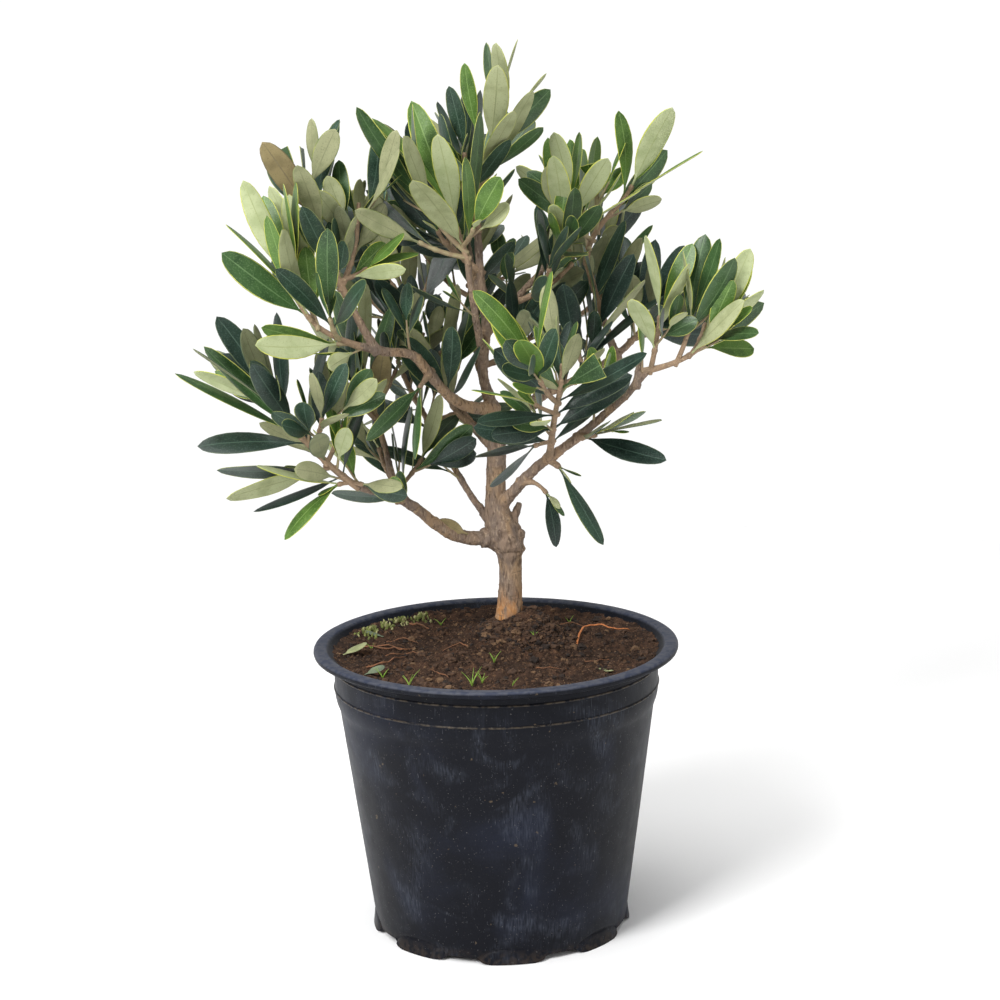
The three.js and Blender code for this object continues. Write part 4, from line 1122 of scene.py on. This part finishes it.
def wood_mesh(branches):
    bag = Bag("wood")
    for branch in branches:
        points, distances = smooth_path(branch, WOOD["step"], WOOD["inside"] if branch.on else 0.0)
        radii = np.array([limb_radius(branch, d) for d in distances])
        if branch.on:
            collar = COLLARS.get(branch.name, USUAL_COLLAR)
            radii = radii + collar * np.exp(-np.maximum(distances, 0) / COLLAR_LENGTH)
        bag.add(*tube_mesh(points, radii, WOOD["sides"]))
    return bag.mesh()


def apply_all(piece):
    """Leaves the piece as the mesh its modifiers make."""
    graph = bpy.context.evaluated_depsgraph_get()
    mesh = bpy.data.meshes.new_from_object(piece.evaluated_get(graph))
    piece.modifiers.clear()
    piece.data = mesh
    return mesh


def push(mesh, depth_at):
    """Moves each vertex along its normal by the depth, in millimetres, that its point gives."""
    values = {name: np.zeros(3 * len(mesh.vertices)) for name in ("co", "normal")}
    for name, array in values.items():
        mesh.vertices.foreach_get(name, array)
    points, normals = (array.reshape(-1, 3) for array in values.values())
    depths = np.array([depth_at(Vector(p / MM)) for p in points])
    points += normals * depths[:, None] * MM
    mesh.vertices.foreach_set("co", points.ravel())
    mesh.update()


def burr(p):
    """The lumpy swelling where the lowest boughs leave the trunk, with a sharp lower edge."""
    if math.hypot(p.x - TRUNK["x"] + 1, p.y - TRUNK["y"]) > BURR["radius"]:
        return 0.0
    reach = BURR["above"] if p.z > BURR["height"] else BURR["below"]
    swell = math.exp(-(((p.z - BURR["height"]) / reach) ** 2))
    lumps = noise.noise(p / BURR["lumps"] + Vector((2, 5, 1)))
    return BURR["swell"] * swell * (0.75 + 0.7 * lumps)


def bark_relief(p):
    ridge, ridge_size = BARK_RELIEF["ridges"]
    lump, lump_size = BARK_RELIEF["lumps"]
    wart, wart_size, wart_from = BARK_RELIEF["warts"]
    ring, ring_size, ring_from = BARK_RELIEF["rings"]
    grain = Vector((p.x, p.y, p.z * BARK_RELIEF["drawn_out"]))
    around = Vector((p.x / ring_size, p.y / ring_size, p.z / BARK_RELIEF["ring_length"]))
    depth = ridge * noise.fractal(grain / ridge_size, 1.0, 2.0, 3)
    depth += lump * noise.noise(p / lump_size)
    depth += wart * max(0.0, noise.noise(p / wart_size + Vector((9, 4, 2))) - wart_from)
    return depth + ring * max(0.0, noise.noise(around) - ring_from) + burr(p)


wood = add_object("trunk_and_boughs", wood_mesh([*limbs.values(), *stubs]))
remesh = wood.modifiers.new("remesh", "REMESH")
remesh.mode, remesh.voxel_size = "VOXEL", WOOD["voxel"] * MM
wood.modifiers.new("ease", "SMOOTH").iterations = WOOD["ease"]
apply_all(wood)
push(wood.data, bark_relief)
wood.data.materials.clear()
wood.data.materials.append(bark.material)
wood.data.polygons.foreach_set("use_smooth", np.full(len(wood.data.polygons), True))
placed(wood, list(limbs))

# ---------------------------------------------------------------- soil

SOIL_RADIUS = 85.4
SOIL_SKIRT, SOIL_SINK = 0.95, 3  # the surface's hidden edge turns in and down
SOIL_RINGS, SOIL_COLUMNS = 150, 400
CLODS = {"broad": (1.5, 11), "lumps": (2.1, 4.6), "grain": (0.9, 1.6), "mean": 0.7}  # height, size
SOIL_CALM = {"foot": 6, "reach": 8, "least": 0.3}  # clods lie lower round the stem's foot
SOIL_WALL = {"from": 74, "width": 11, "rise": 0.9}  # and by the wall
LOOSE_REACH, STEM_CLEAR = SOIL_RADIUS - 2, 8.5

soil_layers = [
    ("382a22", 1, 22, 4, 0.42, 0.62),
    ("2e211a", 1, 7, 4, 0.46, 0.6),
    ("624835", 0.7, 2.2, 4, 0.55, 0.66),
    ("8c7054", 0.75, 0.9, 3, 0.63, 0.7),
    ("1e1612", 1, 1.6, 4, 0.44, 0.3),
]
soil_look = dict(layers=soil_layers, reliefs=[(1.1, 4, 0.9, 0.9)], Specular_IOR_Level=0.2)


def soil_height(x, y):
    """The surface that the part's solid has."""
    height = SOIL_EDGE
    for mx, my, rise, spread in MOUNDS:
        height += rise * math.exp(-((x - mx) ** 2 + (y - my) ** 2) / (2 * spread * spread))
    return min(height, SOIL_CREST)


def soil_surface(x, y):
    """Clods over the mound, calm round the stem's foot and level with the wall at the edge."""
    p = Vector((x, y, 0))
    (broad, broad_size), (lumps, lump_size), (grain, grain_size), mean = CLODS.values()
    clods = broad * noise.fractal(p / broad_size, 1.0, 2.0, 2) - mean
    clods += lumps * abs(noise.fractal(p / lump_size + Vector((3, 8, 1)), 1.0, 2.0, 3))
    clods += grain * noise.fractal(p / grain_size, 1.0, 2.0, 3)
    from_stem = math.hypot(x - TRUNK["x"], y - TRUNK["y"])
    calm = min(1.0, max(SOIL_CALM["least"], (from_stem - SOIL_CALM["foot"]) / SOIL_CALM["reach"]))
    edge = min(1.0, max(0.0, (math.hypot(x, y) - SOIL_WALL["from"]) / SOIL_WALL["width"]))
    level = soil_height(x, y) * (1 - edge) + SOIL_EDGE * edge
    return level + calm * clods * (1 - 0.4 * edge) + SOIL_WALL["rise"] * edge + 0.2


def on_soil(x, y, lift=0.0):
    return np.array([x, y, soil_surface(x, y) + lift])


def round_place(away, angle, x=0, y=0):
    return x + away * math.cos(angle), y + away * math.sin(angle)


soil_grid = []
for i in range(SOIL_RINGS):
    radius = SOIL_RADIUS * (0.004 + 0.996 * i / (SOIL_RINGS - 1))
    for k in range(SOIL_COLUMNS):
        soil_grid.append(on_soil(*round_place(radius, 2 * math.pi * k / SOIL_COLUMNS)))
rim = soil_grid[-SOIL_COLUMNS:]
skirt = [(x * SOIL_SKIRT, y * SOIL_SKIRT, SOIL_EDGE - SOIL_SINK) for x, y, _ in rim]
soil_bag = Bag("soil_ground", layered("soil", "483428", 0.97, **soil_look))
soil_bag.add(soil_grid + skirt, grid_faces(SOIL_RINGS + 1, SOIL_COLUMNS))
soil_bag.build("soil", ["soil"])

# Loose crumbs, more of them on the mound round the stem.
CRUMBS = {
    "count": 3300, "near": 0.55, "spread": (6.75, 26.25), "size": (0.35, 1.4), "few_large": 2.4,
    "clods": 0.04, "clod": (1.47, 2.52), "rounder_from": 1.1, "lumps": 0.9, "flat": 0.7,
    "lift": 0.25,
}
CRUMB_MOUND = (TRUNK["x"] + 9, TRUNK["y"] - 7)
CRUMB_LOOKS = [  # name, colour, the colour over it, roughness
    ("soil_crumb", "3e2c20", "543d2c", 0.95),
    ("soil_crumb_dry", "70563e", "5c4531", 0.95),
    ("soil_crumb_wet", "221914", "30231b", 0.9),
]
WET_BELOW, DRY_ABOVE = 0.3, 0.86


def crumb_shape(detail):
    mesh = bmesh.new()
    bmesh.ops.create_icosphere(mesh, subdivisions=detail, radius=1)
    vertices = np.array([vertex.co[:] for vertex in mesh.verts])
    faces = [[vertex.index for vertex in face.verts] for face in mesh.faces]
    mesh.free()
    return vertices, faces


crumb_bag = Bag("soil_crumbs", *[plain(*looks[:3], 1.5, looks[3], 0.4) for looks in CRUMB_LOOKS])
small_shape, large_shape = crumb_shape(1), crumb_shape(2)
draw = random_from(4711)
for _ in range(CRUMBS["count"]):
    picks = [draw() for _ in range(8)]
    angle = 2 * math.pi * picks[0]
    if picks[1] < CRUMBS["near"]:
        x, y = round_place(between(CRUMBS["spread"], picks[2]), angle, *CRUMB_MOUND)
    else:
        x, y = round_place(LOOSE_REACH * math.sqrt(picks[2]), angle)
    if math.hypot(x, y) > LOOSE_REACH or math.hypot(x - TRUNK["x"], y - TRUNK["y"]) < STEM_CLEAR:
        continue
    size = between(CRUMBS["size"], picks[3] ** CRUMBS["few_large"])
    if picks[4] < CRUMBS["clods"]:
        size = between(CRUMBS["clod"], picks[3])
    vertices, faces = large_shape if size > CRUMBS["rounder_from"] else small_shape
    offset = Vector((x, y, 7 * picks[5]))
    lumps = [1 + CRUMBS["lumps"] * noise.noise(Vector(v) * 1.9 + offset) for v in vertices]
    squash = np.array([1, 0.75 + 0.3 * picks[6], CRUMBS["flat"]])
    body = vertices * np.array(lumps)[:, None] * size * squash
    kind = 2 if picks[7] < WET_BELOW else 1 if picks[7] > DRY_ABOVE else 0
    crumb_bag.add(body + on_soil(x, y, CRUMBS["lift"] * size), faces, kind)
crumb_bag.build("soil", smooth=False)

# Loose roots and bits of stalk on the soil: stops of x, y and height, radius, material.
ROOTS = [
    ([(42, 4, -1), (44, 18, 1.5), (48, 30, 3), (56, 31, 3), (63, 28, 2.5), (71, 30, 1)], 0.62, 0),
    ([(-70, 10, 0), (-59, 6, 1), (-52, 10, 1.2), (-45, 8, 0)], 0.5, 1),
    ([(-66, 14, 0), (-57, 14, 1.2), (-50, 4, 1.4), (-43, 11, 0)], 0.42, 1),
    ([(-66, -31, 0), (-56, -26, 1.2), (-50, -16, 1), (-46, -9, 0)], 0.5, 1),
    ([(-60, -4, 0), (-52, -8, 1.2), (-44, -2, 1), (-38, -6, 0)], 0.36, 1),
    ([(-47, 54, 0), (-42, 52, 1), (-36, 49, 0)], 0.8, 1),
    ([(-58, 22, 0), (-50, 26, 1), (-41, 22, 0)], 0.34, 1),
    ([(30, 40, 0), (39, 46, 1.4), (47, 44, 0)], 0.4, 1),
    ([(58, -20, 0), (52, -26, 1), (44, -24, 0)], 0.3, 1),
    ([(-24, -54, 0), (-30, -48, 1), (-33, -40, 0)], 0.34, 1),
    ([(20, -40, 0), (28, -44, 0.8), (36, -40, 0)], 0.3, 1),
    ([(-4, 58, 0), (4, 62, 1.2), (14, 60, 0)], 0.5, 1),
    ([(-14, -4, 0), (-20, 2, 1), (-28, 0, 0)], 0.36, 1),
]
ROOT_LIFT, ROOT_DIP, ROOT_TAPER = 0.4, 0.6, 0.55


def lying_path(stops):
    """A smooth path over the soil through stops of x, y and its own height above it."""
    stops = np.array(stops, float)
    places = np.linspace(0, len(stops) - 1, 8 * len(stops))
    flat = eased(resampled(stops, np.arange(len(stops)), places), 5)
    path = eased(np.array([on_soil(x, y, ROOT_LIFT + high) for x, y, high in flat]), 4)
    path[[0, -1], 2] -= ROOT_DIP
    return path


root_bag = Bag(
    "soil_roots",
    plain("root_orange", "c47a46", "a66238", 3, 0.75, 0.2),
    plain("root_brown", "8a5c3e", "684832", 3, 0.8, 0.2),
)
for stops, thick, kind in ROOTS:
    path = lying_path(stops)
    root_bag.add(*tube_mesh(path, thick * (1 - ROOT_TAPER * np.linspace(0, 1, len(path))), 7), kind)
root_bag.build("soil")

# Seedlings: x, y, height, blades. Each is a tuft of narrow arching blades.
SEEDLINGS = [
    (-43, -70, 9, 4), (-12, -70, 11, 5), (-7, -66, 7, 4), (-1, -34, 7, 4), (-57, -50, 7, 4),
    (20, 0, 4, 3), (-65, 7, 4, 2), (8, -72, 5, 2), (40, 56, 5, 3), (-30, 62, 5, 3),
]
green = plain("seedling_green", "70942c", "8eac48", 4, 0.55)
seedling_bag = Bag("seedlings", green)
steps = np.linspace(0, 1, 7)
draw = random_from(99)
for x, y, tall, blades in SEEDLINGS:
    for blade in range(blades):
        out = direction(360 * (blade + 0.7 * draw()) / blades, 0)
        length, lean = tall * (0.7 + 0.5 * draw()), 0.35 + 0.4 * draw()
        path = on_soil(x, y, -0.4) + np.outer(lean * length * steps**1.5, out)
        path = path + np.outer(length * (steps - 0.3 * lean * steps**2), UP)
        seedling_bag.add(*tube_mesh(path, 0.36 * (1 - 0.85 * steps), 5))
seedling_bag.build("foliage")

# Moss along the wall behind on the left: short tufts on a band of the soil's edge.
MOSS = {
    "count": 260, "turn": (118, 158), "away": (70, 81.5), "tall": (1.4, 3.1), "pale_from": 0.72,
    "bare_below": -0.12, "patch": 7, "lean": 0.7,
}
MOSS_RADII = np.array([0.5, 0.6, 0.5, 0.16])
moss_bag = Bag(
    "moss",
    plain("moss_green", "788042", "5c6034", 2, 0.9, 0.2),
    plain("moss_pale", "aaa876", "888658", 2, 0.9, 0.2),
)
draw = random_from(321)
for _ in range(MOSS["count"]):
    picks = [draw() for _ in range(7)]
    away = between(MOSS["away"], math.sqrt(picks[1]))
    x, y = round_place(away, math.radians(between(MOSS["turn"], picks[0])))
    if noise.noise(Vector((x, y, 3)) / MOSS["patch"]) < MOSS["bare_below"]:
        continue
    way = unit(UP + MOSS["lean"] * direction(360 * picks[2], 0) * picks[3])
    up = np.linspace(0, between(MOSS["tall"], picks[4]), len(MOSS_RADII))
    tuft = tube_mesh(on_soil(x, y, -0.5) + np.outer(up, way), MOSS_RADII * (0.7 + picks[5]), 5)
    moss_bag.add(*tuft, int(picks[6] > MOSS["pale_from"]))
moss_bag.build("foliage")


# Fallen leaves: x, y, heading, length, width, tilt, curl; and 0 where the pale side is up.
FALLEN = [
    (-79, -10, 38, 15, 8.5, 8, 0.12, 0),
    (-66, -49, 22, 11, 7.5, 14, 0.05, 1),
    (-60, 30, 150, 12, 4.5, 4, 0.1, 1),
    (52, -38, 300, 13, 4.5, 3, 0.08, 0),
]
fallen_bag = Bag(
    "fallen_leaves",
    plain("fallen_pale", "9ea276", "848a60", 5, 0.8, 0.2),
    plain("fallen_grey", "707c62", "5c6854", 5, 0.8, 0.2),
)
for number, (x, y, heading, length, width, tilt, curl, kind) in enumerate(FALLEN):
    draws = [0.13 * number + 0.2, 0.31 * number + 0.1]
    fallen = LooseLeaf(on_soil(x, y, 0.8), direction(heading, tilt), UP, length, width, curl, draws)
    fallen_bag.add(leaf_shape(fallen), FACES, kind)
fallen_bag.build("foliage")

# ---------------------------------------------------------------- pot

POT = {
    "height": 151.5, "pad": 50, "groove": 52, "base": 66.4, "base_height": 3, "floor": 5,
    "shoulder": 82, "shoulder_height": 119, "collar": 84.4, "collar_height": 128,
    "lip": 95, "lip_inner": 87.8, "lip_height": 147.9, "wall": 1.6,
    "ridges": (130.5, 141.5), "columns": 384, "crease": 38,
}
FEET = {
    "count": 8, "turn": 4.6, "half": 15.5, "inner": 60, "arch": 7.5, "push": 1.7, "pinch": 0.5,
    "top": 14.0, "rows": 19,
}
WALL_ROWS = 34
DRAINS = {"count": 8, "turn": 27.5, "radius": 3.6, "circle": 56, "depth": 20}

plastic = Surface("pot_plastic", "0b0d14", 0.4, IOR=1.45, Specular_IOR_Level=0.13)
haze = plastic.spots(46, 5, 0.44, 0.78, distortion=0.4)
plastic.layer("242a3c", haze, 0.4)
rubbed = plastic.spots(26, 5, 0.5, 0.78, distortion=0.9)
strokes = plastic.spots(0.8, 4, 0.3, 0.8, (1, 1, 0.07), turn=(0, 52, 0))
plastic.layer("5a606e", rubbed, strokes, 0.38)
wiped = plastic.spots(34, 5, 0.52, 0.8, (1.2, 1, 0.8), 0.6)
strokes = plastic.spots(0.7, 4, 0.35, 0.85, (1, 1, 0.08), turn=(0, -34, 0))
plastic.layer("545a68", wiped, strokes, 0.32)
scratches = plastic.spots(0.5, 2, 0.7, 0.74, (1, 1, 0.04), turn=(0, 12, 0))
plastic.layer("6e727a", scratches, 0.3)
plastic.layer("787674", plastic.spots(0.9, 3, 0.67, 0.74), 0.45)
plastic.layer("625442", plastic.spots(4, 3, 0.71, 0.76), 0.5)
grime = plastic.spots(3, 4, 0.38, 0.6)
for height in POT["ridges"]:
    below = plastic.heights(height - 0.75, height - 0.1)
    above = plastic.heights(height + 0.75, height + 0.1)
    plastic.layer("5c5244", below, above, grime, 0.55)
plastic.layer("4a3e32", grime, plastic.heights(9, 1), 0.3)
# The lip's top is painted lighter blue-grey, partly dust and partly painted sheen; grey dust over
# that.
lip_dust_and_sheen = plastic.heights(POT["height"] - 1.6, POT["height"] - 0.2)
plastic.layer("42485a", lip_dust_and_sheen, 0.65)
plastic.layer("68686a", lip_dust_and_sheen, grime, 0.3)
plastic.rough(plastic.noise(9, 4), 0.34, 0.56)
plastic.relief(2.4, 4, 0.12, 0.35)


def wall_radius(height):
    share = (height - POT["base_height"]) / (POT["shoulder_height"] - POT["base_height"])
    return POT["base"] + (POT["shoulder"] - POT["base"]) * share


def foot_rows(angles):
    """Rows from the underside up to where the wall is plain: radius and height by column."""
    pitch = 360 / FEET["count"]
    away = (angles - FEET["turn"] + pitch / 2) % pitch - pitch / 2
    foot = np.sqrt(np.clip(1 - (away / FEET["half"]) ** 2, 0, 1))
    sides = np.clip(3 * foot, 0, 1)
    sag = POT["base_height"] * (1 - np.clip(1.25 * foot, 0, 1))
    arch = np.maximum(FEET["arch"] * foot, 1e-3)
    rows = [(POT["pad"], 0), (POT["groove"], POT["base_height"])]
    rows += [(FEET["inner"], sag), (POT["base"] - 1.4, sag)]
    for share in np.linspace(0, 1, FEET["rows"]):
        height = sag + (FEET["top"] - sag) * share
        under = np.clip(1 - height / arch, 0, 1)
        push_out = np.where(height < arch, 0.35 + FEET["push"] * under**1.3, 0) * sides
        pinch = FEET["pinch"] * np.exp(-(((height - arch - 0.7) / 0.8) ** 2)) * sides
        rows.append((wall_radius(height) + push_out - pinch, height))
    return rows


def wall_profile():
    """Radius and height up the wall, over the lip and down inside to the floor."""
    heights = np.linspace(FEET["top"] + 4, POT["shoulder_height"], WALL_ROWS)
    profile = [(wall_radius(height), height) for height in heights]
    collar, lip, low, high = POT["collar"], POT["lip"], POT["lip_height"], POT["height"]
    profile += [(82.6, 120.6), (83.6, 123.5), (84.15, 126.2), (collar, POT["collar_height"])]
    for height in POT["ridges"]:
        for offset, out in ((-0.75, 0), (-0.35, 0.4), (0, 0.55), (0.35, 0.4), (0.75, 0)):
            profile.append((collar + out, height + offset))
    return profile + [
        (84.4, 145), (84.5, low - 0.1), (85, low), (92.4, low), (93.9, low + 0.15),
        (94.7, low + 0.7), (lip - 0.05, low + 1.5), (lip - 0.1, low + 2.3), (94.5, high - 0.55),
        (93.7, high - 0.12),
        (92.7, high), (90.6, high - 0.1), (88.9, high - 0.05), (88.2, high - 0.25),
        (POT["lip_inner"], high - 0.8), (85.6, low + 1.2), (82.9, low - 1),
        (collar - POT["wall"], POT["collar_height"]),
        (POT["shoulder"] - POT["wall"], POT["shoulder_height"]),
        (wall_radius(POT["floor"]) - POT["wall"], POT["floor"]),
    ]


def drain_cutter():
    drains = bmesh.new()
    radius, count = DRAINS["radius"] * MM, DRAINS["count"]
    for index in range(count):
        turn = math.radians(DRAINS["turn"] + 360 / count * index)
        place = Vector((math.sin(turn), -math.cos(turn), 0)) * DRAINS["circle"] * MM
        sizes = dict(segments=20, radius1=radius, radius2=radius, depth=DRAINS["depth"] * MM)
        sizes["matrix"] = Matrix.Translation(place)
        bmesh.ops.create_cone(drains, cap_ends=True, **sizes)
    mesh = bpy.data.meshes.new("drains")
    drains.to_mesh(mesh)
    drains.free()
    return add_object("drains", mesh)


angles = 360 * np.arange(POT["columns"]) / POT["columns"]
rows = foot_rows(angles) + wall_profile()
angles = np.radians(angles)
# The wall isn't quite round.
wobble = 0.12 * np.sin(3 * angles + 0.4) + 0.08 * np.sin(7 * angles + 2)
rings = []
for radius, height in rows:
    radius = radius + np.where(radius < POT["lip"] - 6, wobble, 0.3 * wobble - 0.06)
    ring = (radius * np.sin(angles), -radius * np.cos(angles), height + 0 * angles)
    rings.append(np.stack(ring, 1))
vertices = np.vstack(rings + [[[0, 0, 0]], [[0, 0, POT["floor"]]]])
pot_bag = Bag("pot_shell", plastic.material)
pot_bag.add(vertices, capped_faces(len(rows), POT["columns"], len(vertices) - 2, len(vertices) - 1))
pot = pot_bag.build("pot_plastic", ["pot"])
cutter = drain_cutter()
bore = pot.modifiers.new("bore", "BOOLEAN")
bore.operation, bore.solver, bore.object = "DIFFERENCE", "EXACT", cutter
apply_all(pot)
bpy.data.objects.remove(cutter)
pot.data.set_sharp_from_angle(angle=math.radians(POT["crease"]))

# ---------------------------------------------------------------- floor, light, camera

FLOOR_RADIUS, FLOOR_SIDES = 950, 120

floor_bag = Bag("floor")
floor_turns = [2 * math.pi * k / FLOOR_SIDES for k in range(FLOOR_SIDES)]
rim = [(*round_place(FLOOR_RADIUS, turn), 0) for turn in floor_turns]
floor_bag.add(rim, [range(FLOOR_SIDES)])
floor = add_object("floor", floor_bag.mesh())
white = Surface("floor_white", "fcfcfc", 0.9, Specular_IOR_Level=0.0)
floor.data.materials.append(white.material)

# A white room: full brightness below eye level, softer overhead.
world = bpy.data.worlds.new("studio")
world.use_nodes = True
tree = world.node_tree
background = tree.nodes["Background"]
background.inputs["Color"].default_value = (1, 1, 1, 1)
way = tree.nodes.new("ShaderNodeTexCoord")
split = tree.nodes.new("ShaderNodeSeparateXYZ")
fade = tree.nodes.new("ShaderNodeMapRange")
for socket, value in (("From Min", 0.02), ("From Max", 0.3), ("To Min", 1.04), ("To Max", 0.3)):
    fade.inputs[socket].default_value = value
tree.links.new(way.outputs["Generated"], split.inputs["Vector"])
tree.links.new(split.outputs["Z"], fade.inputs["Value"])
tree.links.new(fade.outputs["Result"], background.inputs["Strength"])
bpy.context.scene.world = world

# Softboxes: name, place and aim in metres, side, power in watts.
SOFTBOXES = [
    ("overhead", (-0.2, -0.1, 2.3), (0, 0, 0), 1.8, 43),
    ("key", (-1.0, -1.3, 1.35), (0, 0, 0.25), 0.7, 38),
    ("fill", (1.4, -1.1, 0.8), (0, 0, 0.25), 0.8, 5),
]
for name, place, aim, side, power in SOFTBOXES:
    light = bpy.data.lights.new(name, "AREA")
    light.shape, light.size, light.energy = "SQUARE", side, power
    lamp = add_object(name, light)
    lamp.location = place
    lamp.rotation_euler = (Vector(aim) - Vector(place)).to_track_quat("-Z", "Y").to_euler()

CAMERA = {"place": (0.0037, -1.265, 0.498), "down": 12.1, "roll": 1.2, "lens": 90.5, "near": 0.05}
lens = bpy.data.cameras.new("camera")
lens.lens, lens.sensor_width, lens.clip_start = CAMERA["lens"], 36, CAMERA["near"]
camera = add_object("camera", lens)
camera.matrix_world = (
    Matrix.Translation(CAMERA["place"])
    @ Matrix.Rotation(math.radians(90 - CAMERA["down"]), 4, "X")
    @ Matrix.Rotation(math.radians(-CAMERA["roll"]), 4, "Z")
)
bpy.context.scene.camera = camera
bpy.context.scene.view_settings.view_transform = "Standard"
